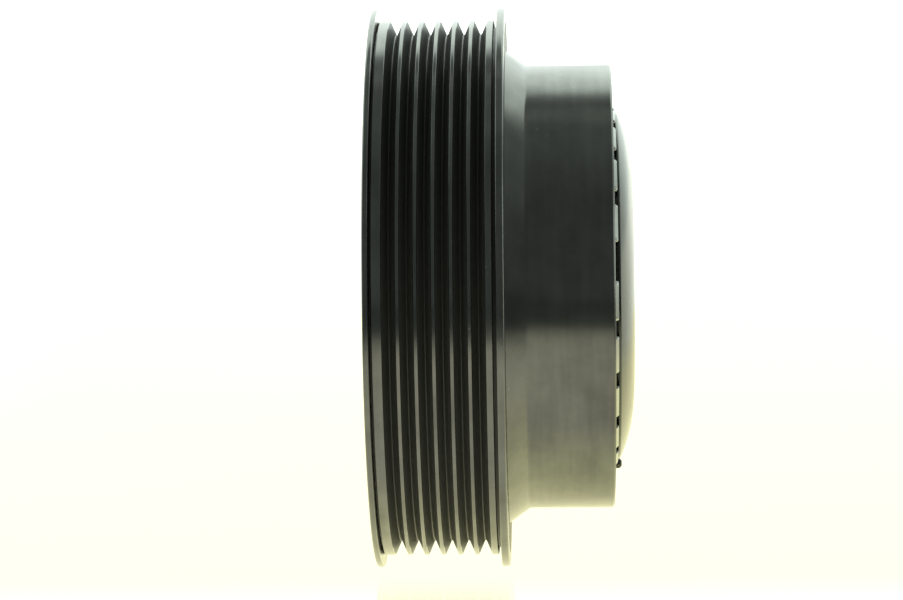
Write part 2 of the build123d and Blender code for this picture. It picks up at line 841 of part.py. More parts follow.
nodes = {
    "belt_band": belt_band,
    "rotor_drum": rotor_drum,
    "friction_lining": friction_lining,
    "bearing_outer_ring": bearing_outer_ring,
    "bearing_inner_ring": bearing_inner_ring,
    "bearing_balls": bearing_balls,
    "bearing_cage": bearing_cage,
    "bearing_seal_front": lambda: bearing_seal(True),
    "bearing_seal_rear": lambda: bearing_seal(False),
    "bearing_circlip": bearing_circlip,
    "mounting_plate": mounting_plate,
    "coil_housing": coil_housing,
    "coil_bobbin": coil_bobbin,
    "coil_winding": coil_winding,
    "thermal_fuse": thermal_fuse,
    "coil_potting": coil_potting,
    "plate_rivets": plate_rivets,
    "anti_rotation_pin": anti_rotation_pin,
    "terminal_block": terminal_block,
    "terminal_blades": terminal_blades,
    "coil_snap_ring": coil_snap_ring,
    "nose_snap_ring": nose_snap_ring,
    "hub_boss": hub_boss,
    "hub_cover": hub_cover,
    "hub_rivets": hub_rivets,
    "rubber_damper": rubber_damper,
    "hub_washer": hub_washer,
    "hub_nut": hub_nut,
    "air_gap_shims": air_gap_shims,
    "carrier_ring": carrier_ring,
    "balance_pin": balance_pin,
    "carrier_rivets": carrier_rivets,
    "armature_plate": armature_plate,
    "armature_rivets": armature_rivets,
}
for index in range(spring_count):
    nodes[f"leaf_spring_{index + 1}"] = lambda index=index: leaf_spring(index)

os.makedirs("parts", exist_ok=True)
for name, make in nodes.items():
    export_step(make(), f"parts/{name}.step")
    print(name)
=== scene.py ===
import json
import math

import bmesh
import bpy
from mathutils import Matrix, Vector


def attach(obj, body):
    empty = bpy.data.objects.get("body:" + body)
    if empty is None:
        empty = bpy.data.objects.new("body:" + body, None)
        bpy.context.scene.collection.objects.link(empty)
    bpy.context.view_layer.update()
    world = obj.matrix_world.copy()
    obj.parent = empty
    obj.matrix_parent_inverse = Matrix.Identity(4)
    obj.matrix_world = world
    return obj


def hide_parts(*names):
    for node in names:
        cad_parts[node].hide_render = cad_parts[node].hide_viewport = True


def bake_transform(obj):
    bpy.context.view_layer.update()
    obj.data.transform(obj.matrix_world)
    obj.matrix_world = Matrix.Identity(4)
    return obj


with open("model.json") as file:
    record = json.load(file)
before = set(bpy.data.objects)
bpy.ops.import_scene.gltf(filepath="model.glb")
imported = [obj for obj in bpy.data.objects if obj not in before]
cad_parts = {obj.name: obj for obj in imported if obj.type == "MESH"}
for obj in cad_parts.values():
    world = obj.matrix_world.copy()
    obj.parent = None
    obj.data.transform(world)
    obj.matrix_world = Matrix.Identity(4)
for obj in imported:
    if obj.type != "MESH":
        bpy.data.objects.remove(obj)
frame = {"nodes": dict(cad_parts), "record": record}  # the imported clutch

scene = bpy.context.scene
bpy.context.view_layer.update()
mm = 0.001  # outlines and sizes below are in millimetres, finished meshes in metres
twoPi = 2 * math.pi


# the camera

cameraSettings = {
    "lens": 138.65,
    "place": (0.024506, -0.735655, 0.088691),
    "yaw": -0.030658,
    "pitch": 0.1234875,
    "roll": 0.0135156,
}


def makeCamera(look):
    data = bpy.data.cameras.new("camera")
    data.lens = look["lens"]
    data.sensor_width = 36
    data.clip_start, data.clip_end = 0.01, 20
    camera = bpy.data.objects.new("camera", data)
    scene.collection.objects.link(camera)
    yaw, pitch, roll = look["yaw"], look["pitch"], look["roll"]
    ahead = Vector((math.sin(yaw) * math.cos(pitch), math.cos(yaw) * math.cos(pitch), -math.sin(pitch)))
    level = Vector((math.cos(yaw), -math.sin(yaw), 0))
    down = ahead.cross(level)
    right = math.cos(roll) * level + math.sin(roll) * down
    up = math.sin(roll) * level - math.cos(roll) * down
    turn = Matrix((right, up, -ahead)).transposed()
    camera.matrix_world = Matrix.Translation(look["place"]) @ turn.to_4x4()
    scene.camera = camera


makeCamera(cameraSettings)
scene.view_settings.view_transform = "Standard"
print("camera in place")


# shader sums


class Wire:
    def __init__(self, tree, socket):
        self.tree = tree
        self.socket = socket

    # any node: its type, the values or links of its sockets, its settings, and which output to carry on from
    def node(self, kind, inputs, settings=None, output=0):
        made = self.tree.nodes.new(kind)
        for name, value in (settings or {}).items():
            setattr(made, name, value)
        for key, value in inputs.items():
            if isinstance(value, Wire):
                self.tree.links.new(value.socket, made.inputs[key])
            else:
                made.inputs[key].default_value = value
        return Wire(self.tree, made.outputs[output])

    def maths(self, operation, *values):
        return self.node("ShaderNodeMath", dict(enumerate(values)), {"operation": operation})

    def __add__(self, other):
        return self.maths("ADD", self, other)

    __radd__ = __add__

    def __sub__(self, other):
        return self.maths("SUBTRACT", self, other)

    def __rsub__(self, other):
        return self.maths("SUBTRACT", other, self)

    def __mul__(self, other):
        return self.maths("MULTIPLY", self, other)

    __rmul__ = __mul__

    def __truediv__(self, other):
        return self.maths("DIVIDE", self, other)

    def __pow__(self, other):
        return self.maths("POWER", self, other)

    # 0 at low and 1 at high, held at the ends
    def between(self, low, high, smooth=False):
        settings = {"interpolation_type": "SMOOTHSTEP" if smooth else "LINEAR"}
        return self.node("ShaderNodeMapRange", {"Value": self, "From Min": low, "From Max": high}, settings)

    # this as a factor between two numbers
    def fade(self, first, second):
        return self * (second - first) + first

    # this as a factor between two colours
    def mix(self, first, second):
        return self.node("ShaderNodeMix", {0: self, 6: first, 7: second}, {"data_type": "RGBA"}, 2)

    def split(self):
        made = self.node("ShaderNodeSeparateXYZ", {0: self})
        return [Wire(self.tree, made.socket.node.outputs[i]) for i in range(3)]

    def join(self, x, y, z):
        return self.node("ShaderNodeCombineXYZ", {0: x, 1: y, 2: z})

    def noise(self, scale, detail=2.0, roughness=0.5):
        inputs = {"Vector": self, "Scale": scale, "Detail": detail, "Roughness": roughness}
        return self.node("ShaderNodeTexNoise", inputs)

    # noise that also changes along a fourth number
    def noiseAlong(self, w, detail=2.0, roughness=0.5):
        inputs = {"Vector": self, "W": w, "Scale": 1.0, "Detail": detail, "Roughness": roughness}
        return self.node("ShaderNodeTexNoise", inputs, {"noise_dimensions": "4D"})

    def cells(self, scale, output=0, feature="F1"):
        inputs = {"Vector": self, "Scale": scale}
        return self.node("ShaderNodeTexVoronoi", inputs, {"feature": feature}, output)

    def stretch(self, x, y, z):
        return self.node("ShaderNodeVectorMath", {0: self, 1: (x, y, z)}, {"operation": "MULTIPLY"})

    def bump(self, height, depth, under=None):
        inputs = {"Height": height, "Distance": depth, "Strength": 1.0}
        if under:
            inputs["Normal"] = under
        return self.node("ShaderNodeBump", inputs)


def startMaterial(name, fixed):
    material = bpy.data.materials.new(name)
    material.use_nodes = True
    tree = material.node_tree
    tree.nodes.clear()
    shader = tree.nodes.new("ShaderNodeBsdfPrincipled")
    tree.links.new(shader.outputs[0], tree.nodes.new("ShaderNodeOutputMaterial").inputs[0])
    for socket, value in fixed.items():
        shader.inputs[socket].default_value = value
    place = Wire(tree, tree.nodes.new("ShaderNodeTexCoord").outputs["Object"])
    return material, shader, place


def finishMaterial(shader, links):
    for socket, wire in links.items():
        wire.tree.links.new(wire.socket, shader.inputs[socket])


def colour(r, g, b):
    return (r, g, b, 1.0)


# metal turned about the clutch's axis: lathe lines round it, smears along them, a few nicks
def turnedMetal(name, look):
    material, shader, place = startMaterial(name, {"IOR": 1.5})
    x, y, z = place.split()
    radius = (y * y + z * z) ** 0.5
    along = (x + radius) * look["linesPerMetre"]
    around = place.join(x * 3, y / radius * 2.2, z / radius * 2.2)
    lines = around.noiseAlong(along, 2.5, 0.62)
    bands = around.noiseAlong((x + radius) * look["bandsPerMetre"], 2.0, 0.5)
    smeared = place.join(x * 40, y / radius * 5, z / radius * 5)
    smear = smeared.noiseAlong(radius * look["smearsPerMetre"], 3.0, 0.6)
    blotch = place.noise(look["blotchScale"], 4.0, 0.62)
    nick = place.cells(look["nickScale"]).between(look["nickSize"], 0.0)
    shade = (bands * 0.35 + blotch * 0.65).between(0.36, 0.66)
    nickMask = nick * place.noise(look["nickScale"] * 0.13).between(0.56, 0.66)
    base = shade.mix(look["dark"], look["light"])
    base = (nickMask * 0.6).mix(base, look["nickColour"])
    # painted shade in the grooves and inward of them: a dull dark, less metallic coat under the ridges'
    # radius, with bare steel on the ridges and flanges
    clearOfGrooveShade = radius.between(look["grooveShadeBelow"], look["grooveShadeBelow"] + look["grooveShadeEdge"])
    base = clearOfGrooveShade.mix(look["grooveShadeColour"], base)
    rough = smear.between(0.3, 0.72).fade(*look["roughness"]) + lines.between(0.3, 0.7) * 0.03
    rough = rough + (1 - clearOfGrooveShade) * look["grooveRoughness"]
    height = lines + bands * look["bandDepth"] - nickMask * 2.0
    finishMaterial(shader, {
        "Base Color": base, "Roughness": rough, "Metallic": clearOfGrooveShade.fade(look["grooveMetallic"], 1.0),
        "Normal": place.bump(height, look["lineDepth"]),
    })
    return material


# zinc plate or ground steel on small pieces: a soft mottle, fine scratches
def platedMetal(name, look):
    material, shader, place = startMaterial(name, {"Metallic": 1.0, "IOR": 1.5})
    mottle = place.noise(look["mottleScale"], 4.0, 0.6)
    fine = place.noise(look["mottleScale"] * 9, 3.0, 0.6)
    scratch = place.stretch(1.0, 9.0, 0.6).noise(900, 3.0, 0.6)
    scratchMask = scratch.between(0.58, 0.7)
    base = mottle.between(0.35, 0.68).mix(look["dark"], look["light"])
    base = (scratchMask * 0.35).mix(base, look["scratchColour"])
    rough = mottle.between(0.35, 0.7).fade(*look["roughness"]) + fine * 0.06
    height = fine * 0.6 + mottle - scratchMask * 0.5
    finishMaterial(shader, {
        "Base Color": base, "Roughness": rough, "Normal": place.bump(height, look["depth"]),
    })
    return material


# a coat over steel: a fine orange peel, handling marks, thin places
def coatedMetal(name, look):
    fixed = {"Metallic": look["metallic"], "Coat Roughness": look["coatRoughness"]}
    material, shader, place = startMaterial(name, fixed)
    peel = place.noise(look["peelScale"], 2.0, 0.5)
    cloud = place.noise(46, 5.0, 0.6)
    rubbed = place.noise(150, 4.0, 0.7).between(0.56, 0.72)
    base = cloud.between(0.33, 0.68).mix(look["dark"], look["light"])
    base = (rubbed * look["rubbed"]).mix(base, look["rubbedColour"])
    rough = cloud.between(0.3, 0.7).fade(*look["roughness"]) + rubbed * 0.06
    finishMaterial(shader, {
        "Base Color": base, "Roughness": rough, "Coat Weight": cloud.fade(look["coat"], look["coat"] * 0.6),
        "Normal": place.bump(peel + rubbed * 0.2, look["peelDepth"]),
    })
    return material


# moulded plastic or resin: a spark-eroded grain and slight flow lines
def mouldedPlastic(name, look):
    material, shader, place = startMaterial(name, {"Metallic": 0.0, "IOR": 1.5})
    grain = place.noise(look["grainScale"], 2.0, 0.7)
    flow = place.stretch(0.4, 1.0, 1.0).noise(90, 4.0, 0.6)
    speck = place.cells(look["grainScale"] * 0.35).between(0.16, 0.0)
    base = flow.between(0.3, 0.7).mix(look["dark"], look["light"])
    base = (speck * look["specks"]).mix(base, look["speckColour"])
    rough = flow.between(0.3, 0.7).fade(*look["roughness"]) + grain * 0.08
    finishMaterial(shader, {
        "Base Color": base, "Roughness": rough, "Normal": place.bump(grain + speck * 0.3, look["depth"]),
    })
    return material


# rubber: dull, with dust in its pores and a faint bloom
def mouldedRubber(name, look):
    material, shader, place = startMaterial(name, {"Metallic": 0.0, "Specular IOR Level": 0.3})
    pores = place.cells(2600)
    grain = place.noise(1500, 3.0, 0.6)
    bloom = place.noise(70, 5.0, 0.65).between(0.48, 0.75)
    base = grain.between(0.3, 0.7).mix(look["dark"], look["light"])
    base = (bloom * look["bloom"]).mix(base, look["bloomColour"])
    finishMaterial(shader, {
        "Base Color": base, "Roughness": bloom.fade(*look["roughness"]),
        "Normal": place.bump(grain + pores * 0.7, look["depth"]),
    })
    return material


# friction lining: fibres and brass flecks in a dull binder
def frictionLining(name, look):
    material, shader, place = startMaterial(name, {})
    fibre = place.stretch(1.0, 3.2, 1.0).noise(1100, 4.0, 0.65).between(0.52, 0.6)
    fleck = place.cells(760).between(0.2, 0.08)
    cloud = place.noise(260, 4.0, 0.6)
    base = cloud.between(0.3, 0.7).mix(look["dark"], look["light"])
    base = (fibre * 0.5).mix(base, look["fibreColour"])
    base = fleck.mix(base, look["fleckColour"])
    finishMaterial(shader, {
        "Base Color": base, "Metallic": fleck * 0.8, "Roughness": 0.86 - fleck * 0.45,
        "Normal": place.bump(cloud + fibre * 0.5 - fleck * 0.3, look["depth"]),
    })
    return material


# enamelled wire: each turn is a little lighter or darker than the next, under a varnish
def enamelledWire(name, look):
    material, shader, place = startMaterial(name, {"Coat Roughness": 0.12, "Metallic": 0.9})
    count = place.split()[0] / (look["pitch"] * mm)
    turns = count.maths("FLOOR", count)
    tone = turns.node("ShaderNodeTexWhiteNoise", {"W": turns}, {"noise_dimensions": "1D"})
    cloud = place.noise(220, 4.0, 0.6)
    base = (tone * 0.6 + cloud * 0.4).between(0.25, 0.75).mix(look["dark"], look["light"])
    finishMaterial(shader, {
        "Base Color": base, "Roughness": cloud.fade(*look["roughness"]),
        "Coat Weight": cloud.between(0.3, 0.6), "Normal": place.bump(cloud, look["depth"]),
    })
    return material


steelLook = {
    "dark": colour(0.150, 0.155, 0.145), "light": colour(0.235, 0.240, 0.222), "roughness": (0.11, 0.22),
    "linesPerMetre": 7000, "lineDepth": 0.0000045, "bandsPerMetre": 520, "bandDepth": 0.5, "blotchScale": 75,
    "smearsPerMetre": 160, "nickColour": colour(0.6, 0.6, 0.56), "nickScale": 520, "nickSize": 0.14,
    # painted groove shade, off unless a radius is given below which it darkens the steel
    "grooveShadeBelow": 0.0, "grooveShadeEdge": 0.25 * mm, "grooveShadeColour": colour(0.085, 0.088, 0.08),
    "grooveMetallic": 0.25, "grooveRoughness": 0.2,
}

materials = {
    "band_steel": turnedMetal("bandSteel", {
        **steelLook, "dark": colour(0.17, 0.175, 0.165), "light": colour(0.27, 0.275, 0.26),
        # painted shade in the band's grooves and on all of the band inward of its ridges
        "grooveShadeBelow": 56.3 * mm,
    }),
    "drum_steel": turnedMetal("drumSteel", steelLook),
    "bearing_steel": turnedMetal("bearingSteel", {
        **steelLook, "dark": colour(0.52, 0.53, 0.54), "light": colour(0.64, 0.65, 0.66),
        "roughness": (0.1, 0.22), "linesPerMetre": 11000, "lineDepth": 0.000002, "nickScale": 900,
    }),
    "boss_steel": turnedMetal("bossSteel", {
        **steelLook, "dark": colour(0.29, 0.29, 0.28), "light": colour(0.42, 0.42, 0.4),
        "roughness": (0.2, 0.34),
    }),
    "armature_steel": turnedMetal("armatureSteel", {
        **steelLook, "dark": colour(0.27, 0.27, 0.25), "light": colour(0.4, 0.4, 0.37),
        "roughness": (0.2, 0.36), "linesPerMetre": 5000,
    }),
    "carrier_steel": turnedMetal("carrierSteel", {
        **steelLook, "dark": colour(0.42, 0.44, 0.41), "light": colour(0.58, 0.6, 0.55),
        "roughness": (0.22, 0.36), "linesPerMetre": 4000, "lineDepth": 0.000002,
    }),
    "plate_steel": platedMetal("plateZinc", {
        "dark": colour(0.5, 0.49, 0.42), "light": colour(0.72, 0.69, 0.56),
        "scratchColour": colour(0.85, 0.84, 0.8), "roughness": (0.2, 0.38), "mottleScale": 120,
        "depth": 0.00001,
    }),
    "rivet_steel": platedMetal("rivetZinc", {
        "dark": colour(0.4, 0.4, 0.36), "light": colour(0.62, 0.61, 0.54),
        "scratchColour": colour(0.8, 0.8, 0.78), "roughness": (0.22, 0.4), "mottleScale": 420,
        "depth": 0.00001,
    }),
    "nut_steel": platedMetal("nutZinc", {
        "dark": colour(0.64, 0.64, 0.6), "light": colour(0.82, 0.82, 0.78),
        "scratchColour": colour(0.93, 0.93, 0.92), "roughness": (0.1, 0.24), "mottleScale": 300,
        "depth": 0.000008,
    }),
    "pin_steel": platedMetal("pinSteel", {
        "dark": colour(0.22, 0.22, 0.21), "light": colour(0.38, 0.38, 0.36),
        "scratchColour": colour(0.6, 0.6, 0.58), "roughness": (0.2, 0.36), "mottleScale": 500,
        "depth": 0.000008,
    }),
    "spring_steel": platedMetal("springSteel", {
        "dark": colour(0.06, 0.062, 0.068), "light": colour(0.13, 0.13, 0.135),
        "scratchColour": colour(0.4, 0.4, 0.4), "roughness": (0.3, 0.46), "mottleScale": 260,
        "depth": 0.000012,
    }),
    "balance_steel": platedMetal("balanceSteel", {
        "dark": colour(0.05, 0.05, 0.045), "light": colour(0.12, 0.12, 0.11),
        "scratchColour": colour(0.45, 0.45, 0.42), "roughness": (0.25, 0.42), "mottleScale": 600,
        "depth": 0.00001,
    }),
    "ball_steel": platedMetal("ballSteel", {
        "dark": colour(0.74, 0.74, 0.76), "light": colour(0.84, 0.84, 0.86),
        "scratchColour": colour(0.9, 0.9, 0.92), "roughness": (0.04, 0.09), "mottleScale": 300,
        "depth": 0.0000005,
    }),
    "terminal_brass": platedMetal("terminalBrass", {
        "dark": colour(0.62, 0.46, 0.18), "light": colour(0.82, 0.66, 0.34),
        "scratchColour": colour(0.95, 0.85, 0.6), "roughness": (0.16, 0.32), "mottleScale": 500,
        "depth": 0.000008,
    }),
    "cover_steel": coatedMetal("coverCoat", {
        "dark": colour(0.085, 0.091, 0.079), "light": colour(0.115, 0.121, 0.107),
        "rubbedColour": colour(0.5, 0.5, 0.46), "rubbed": 0.12, "metallic": 0.95,
        "roughness": (0.15, 0.24), "coat": 0.04, "coatRoughness": 0.2,
        "peelScale": 1500, "peelDepth": 0.000012,
    }),
    "coil_steel": coatedMetal("coilCoat", {
        "dark": colour(0.018, 0.018, 0.019), "light": colour(0.04, 0.04, 0.042),
        "rubbedColour": colour(0.2, 0.2, 0.2), "rubbed": 0.3, "metallic": 0.1,
        "roughness": (0.34, 0.5), "coat": 0.3, "coatRoughness": 0.3,
        "peelScale": 1100, "peelDepth": 0.00003,
    }),
    "cage_plastic": mouldedPlastic("cagePlastic", {
        "dark": colour(0.56, 0.47, 0.28), "light": colour(0.72, 0.64, 0.44),
        "speckColour": colour(0.4, 0.34, 0.22), "specks": 0.3, "roughness": (0.34, 0.46),
        "grainScale": 1800, "depth": 0.00001,
    }),
    "bobbin_plastic": mouldedPlastic("bobbinPlastic", {
        "dark": colour(0.02, 0.02, 0.02), "light": colour(0.045, 0.045, 0.043),
        "speckColour": colour(0.1, 0.1, 0.1), "specks": 0.3, "roughness": (0.4, 0.52),
        "grainScale": 1600, "depth": 0.000015,
    }),
    "terminal_plastic": mouldedPlastic("terminalPlastic", {
        "dark": colour(0.014, 0.014, 0.015), "light": colour(0.03, 0.03, 0.031),
        "speckColour": colour(0.08, 0.08, 0.08), "specks": 0.3, "roughness": (0.32, 0.48),
        "grainScale": 2200, "depth": 0.00002,
    }),
    "fuse_shell": mouldedPlastic("fuseShell", {
        "dark": colour(0.62, 0.58, 0.5), "light": colour(0.76, 0.73, 0.66),
        "speckColour": colour(0.4, 0.36, 0.3), "specks": 0.4, "roughness": (0.3, 0.42),
        "grainScale": 2600, "depth": 0.00001,
    }),
    "resin": mouldedPlastic("pottingResin", {
        "dark": colour(0.022, 0.017, 0.013), "light": colour(0.06, 0.048, 0.036),
        "speckColour": colour(0.16, 0.13, 0.1), "specks": 0.5, "roughness": (0.14, 0.34),
        "grainScale": 620, "depth": 0.00004,
    }),
    "seal_rubber": mouldedRubber("sealRubber", {
        "dark": colour(0.012, 0.012, 0.012), "light": colour(0.03, 0.03, 0.03),
        "bloomColour": colour(0.12, 0.12, 0.115), "bloom": 0.4, "roughness": (0.5, 0.7), "depth": 0.00002,
    }),
    "damper_rubber": mouldedRubber("damperRubber", {
        "dark": colour(0.01, 0.01, 0.01), "light": colour(0.026, 0.026, 0.025),
        "bloomColour": colour(0.09, 0.09, 0.085), "bloom": 0.5, "roughness": (0.6, 0.8), "depth": 0.00003,
    }),
    "friction_material": frictionLining("frictionLining", {
        "dark": colour(0.045, 0.035, 0.028), "light": colour(0.1, 0.08, 0.06),
        "fibreColour": colour(0.3, 0.27, 0.2), "fleckColour": colour(0.6, 0.45, 0.2), "depth": 0.00004,
    }),
    "copper": enamelledWire("copperWire", {
        "dark": colour(0.42, 0.15, 0.06), "light": colour(0.68, 0.3, 0.13), "pitch": 0.72,
        "roughness": (0.22, 0.38), "depth": 0.00002,
    }),
}
slotOf = {part["node"]: part["material_slot"] for part in frame["record"]["subparts"]}
bodyOf = {node: body for body, nodes in frame["record"]["behaviour"]["bodies"].items() for node in nodes}
print("materials made:", len(materials))


# modelling helpers


# a flat face in the XZ plane from (x, radius) points; a third number rounds that corner
def outlineFace(bm, outline):
    corners = [bm.verts.new((point[0], 0, point[1])) for point in outline]
    bm.faces.new(corners)
    for corner, point in zip(corners, outline):
        if len(point) > 2:
            bmesh.ops.bevel(
                bm, geom=[corner], offset=point[2], offset_type="OFFSET", segments=4, profile=0.5,
                affect="VERTICES", material=-1,
            )


# the outline turned a full circle about the clutch's axis
def spinOutline(bm, outline, steps):
    outlineFace(bm, outline)
    bmesh.ops.delete(bm, geom=bm.faces[:], context="FACES_ONLY")
    bmesh.ops.spin(
        bm, geom=bm.verts[:] + bm.edges[:], cent=(0, 0, 0), axis=(1, 0, 0), dvec=(0, 0, 0), angle=twoPi,
        steps=steps, use_merge=True, use_normal_flip=False, use_duplicate=False,
    )
    bmesh.ops.remove_doubles(bm, verts=bm.verts[:], dist=1e-5)
    bmesh.ops.recalc_face_normals(bm, faces=bm.faces[:])


def spunBody(outline, steps=256):
    bm = bmesh.new()
    spinOutline(bm, outline, steps)
    return bm


def addTo(bm, other):
    mesh = bpy.data.meshes.new("joined")
    other.to_mesh(mesh)
    other.free()
    bm.from_mesh(mesh)
    bpy.data.meshes.remove(mesh)


# an angle is measured from +Y towards +Z, as on the drawing
def atAngle(radius, degrees):
    return Vector((0, radius * math.cos(math.radians(degrees)), radius * math.sin(math.radians(degrees))))


def angleOf(vert):
    return math.degrees(math.atan2(vert.co.z, vert.co.y))


def turnBy(bm, degrees):
    turn = Matrix.Rotation(math.radians(degrees), 3, "X")
    bmesh.ops.rotate(bm, verts=bm.verts[:], cent=(0, 0, 0), matrix=turn)


# copies of a small turned shape, such as a rivet, round a circle
def studs(outline, radius, degrees, steps=40):
    bm = bmesh.new()
    for angle in degrees:
        one = spunBody(outline, steps)
        bmesh.ops.translate(one, verts=one.verts[:], vec=atAngle(radius, angle))
        addTo(bm, one)
    return bm


# where a cylinder or prism goes that has its length along X
def alongX(middle):
    return Matrix.Translation(middle) @ Matrix.Rotation(math.pi / 2, 4, "Y")


def rivetOutline(rivet):
    return [*rivet["head"], *rivet["shank"], *rivet.get("tail", [])]


# cylinders parallel to X, to be cut out of something
def drills(back, front, holeRadius, radius, degrees):
    bm = bmesh.new()
    for angle in degrees:
        place = alongX(atAngle(radius, angle) + Vector(((back + front) / 2, 0, 0)))
        bmesh.ops.create_cone(
            bm, cap_ends=True, segments=40, radius1=holeRadius, radius2=holeRadius, depth=front - back,
            matrix=place,
        )
    return bm


# curved slots with round ends, to be cut out of something
def arcSlots(back, front, radius, width, sweep, degrees):
    bm = bmesh.new()
    inner, outer = radius - width / 2, radius + width / 2
    halfEnd = math.degrees(width / 2 / radius)
    ends = (0.0, sweep + 2 * halfEnd)
    for angle in degrees:
        one = bmesh.new()
        corners = [(back, inner), (front, inner), (front, outer), (back, outer)]
        face = one.faces.new([one.verts.new((x, r, 0)) for x, r in corners])
        bmesh.ops.spin(
            one, geom=[face], cent=(0, 0, 0), axis=(1, 0, 0), dvec=(0, 0, 0), angle=math.radians(ends[1]),
            steps=22, use_merge=False, use_normal_flip=False, use_duplicate=False,
        )
        bmesh.ops.recalc_face_normals(one, faces=one.faces[:])
        upright = [e for e in one.edges if abs(e.verts[0].co.x - e.verts[1].co.x) > 0.5 * (front - back)]
        atEnds = [e for e in upright if min(abs(angleOf(e.verts[0]) - end) for end in ends) < 0.01]
        bmesh.ops.bevel(  # a little short of half the width, so that the rounds don't meet
            one, geom=atEnds, offset=width * 0.46, offset_type="OFFSET", segments=6, profile=0.5,
            affect="EDGES", material=-1, clamp_overlap=True,
        )
        turnBy(one, angle - halfEnd)
        addTo(bm, one)
    return bm


def meshOf(bm, name):
    mesh = bpy.data.meshes.new(name)
    bm.to_mesh(mesh)
    bm.free()
    return mesh


# one bmesh cut by others, or kept only where they are
def carve(bm, cutters, operation="DIFFERENCE"):
    body = bpy.data.objects.new("carved", meshOf(bm, "carved"))
    scene.collection.objects.link(body)
    tools = []
    for cutter in cutters:
        tool = bpy.data.objects.new("cutter", meshOf(cutter, "cutter"))
        scene.collection.objects.link(tool)
        modifier = body.modifiers.new("cut", "BOOLEAN")
        modifier.operation, modifier.object, modifier.solver = operation, tool, "EXACT"
        tools.append(tool)
    graph = bpy.context.evaluated_depsgraph_get()
    made = bpy.data.meshes.new_from_object(body.evaluated_get(graph))
    carved = bmesh.new()
    carved.from_mesh(made)
    bpy.data.meshes.remove(made)
    for thing in [body, *tools]:
        mesh = thing.data
        bpy.data.objects.remove(thing)
        bpy.data.meshes.remove(mesh)
    bmesh.ops.remove_doubles(carved, verts=carved.verts[:], dist=1e-5)
    return carved


# the finished piece: smooth shading with sharp edges, its material, and the CAD node it stands for
def makePiece(name, bm, node, smoothBelow=35, even=True):
    bmesh.ops.scale(bm, vec=(mm, mm, mm), verts=bm.verts[:])
    bmesh.ops.recalc_face_normals(bm, faces=bm.faces[:])
    mesh = meshOf(bm, name)
    mesh.polygons.foreach_set("use_smooth", [True] * len(mesh.polygons))
    mesh.set_sharp_from_angle(angle=math.radians(smoothBelow))
    mesh.materials.append(materials[slotOf[node]])
    piece = bpy.data.objects.new(name, mesh)
    scene.collection.objects.link(piece)
    if even:
        modifier = piece.modifiers.new("evenNormals", "WEIGHTED_NORMAL")
        modifier.keep_sharp = True
    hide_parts(node)
    return piece


def fit(name, bm, node, **how):
    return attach(makePiece(name, bm, node, **how), bodyOf[node])


# a merged copy of a CAD node, in millimetres, with its flat faces made whole
def copyOf(node):
    bm = bmesh.new()
    bm.from_mesh(frame["nodes"][node].data)
    bmesh.ops.scale(bm, vec=(1 / mm, 1 / mm, 1 / mm), verts=bm.verts[:])
    bmesh.ops.remove_doubles(bm, verts=bm.verts[:], dist=1e-4)
    bmesh.ops.dissolve_limit(
        bm, angle_limit=math.radians(0.5), verts=bm.verts[:], edges=bm.edges[:], delimit=set(),
    )
    return bm


def softenEdges(bm, offset, over=40, segments=2):
    sharp = [e for e in bm.edges if len(e.link_faces) == 2 and e.calc_face_angle(0) > math.radians(over)]
    bmesh.ops.bevel(
        bm, geom=sharp, offset=offset, offset_type="OFFSET", segments=segments, profile=0.5, affect="EDGES",
        material=-1, clamp_overlap=True,
    )
    return bm


def evenly(count, first=0.0):
    return [first + 360 * i / count for i in range(count)]


# the belt band

band = {
    "back": -14.0, "front": 14.06, "bore": 48.9, "flange": 59.25, "flangeRound": 0.6, "relief": 55.2,
    "backFlangeFront": -12.75, "frontFlangeBack": 12.39, "backLand": -12.3, "frontLand": 11.66,
    "grooves": 6, "pitch": 3.56, "ridge": 56.75, "root": 53.75, "ridgeHalf": 0.335, "rootHalf": 0.16,
    "ridgeRound": 0.12, "rootRound": 0.15, "flangeEdge": 0.35,
}


def beltBand(look):
    outline = [
        (look["back"], look["bore"], 0.3), (look["back"], look["flange"], look["flangeRound"]),
        (look["backFlangeFront"], look["flange"], look["flangeEdge"]),
        (look["backFlangeFront"], look["relief"], 0.1),
        (look["backLand"], look["relief"], 0.1), (look["backLand"], look["ridge"], look["ridgeRound"]),
    ]
    top, foot = look["pitch"] / 2 - look["ridgeHalf"], look["rootHalf"]
    for i in range(look["grooves"]):
        middle = (i - (look["grooves"] - 1) / 2) * look["pitch"]
        outline += [
            (middle - top, look["ridge"], look["ridgeRound"]),
            (middle - foot, look["root"], look["rootRound"]),
            (middle + foot, look["root"], look["rootRound"]),
            (middle + top, look["ridge"], look["ridgeRound"]),
        ]
    outline += [
        (look["frontLand"], look["ridge"], look["ridgeRound"]), (look["frontLand"], look["relief"], 0.1),
        (look["frontFlangeBack"], look["relief"], 0.1),
        (look["frontFlangeBack"], look["flange"], look["flangeEdge"]),
        (look["front"], look["flange"], look["flangeRound"]), (look["front"], look["bore"]),
    ]
    return spunBody(outline, 320)


fit("beltBand", beltBand(band), "belt_band")


# the rotor drum

# slots are given as a radius and a width
drum = {
    "sleeveBack": -4.4, "sleeveInner": 27.5, "sleeveOuter": 31.6, "grooveBack": -3.15, "grooveFront": -1.5,
    "groove": 28.6, "lipBack": 18.5, "lipFront": 20.5, "lip": 24.5, "poleBack": 24.5, "pole": 29.0,
    "liningInner": 36.9, "liningOuter": 39.0, "liningDepth": 1.4, "shroud": 45.6, "rim": 36.2,
    "rimCut": 0.4, "wall": 47.0, "coneFront": 18.36, "shoulder": 50.1, "bandFront": 14.06, "seat": 48.9,
    "back": -3.2, "inner": 43.2, "innerSlot": (35.2, 2.2), "outerSlot": (40.4, 1.8), "sweep": 44,
}


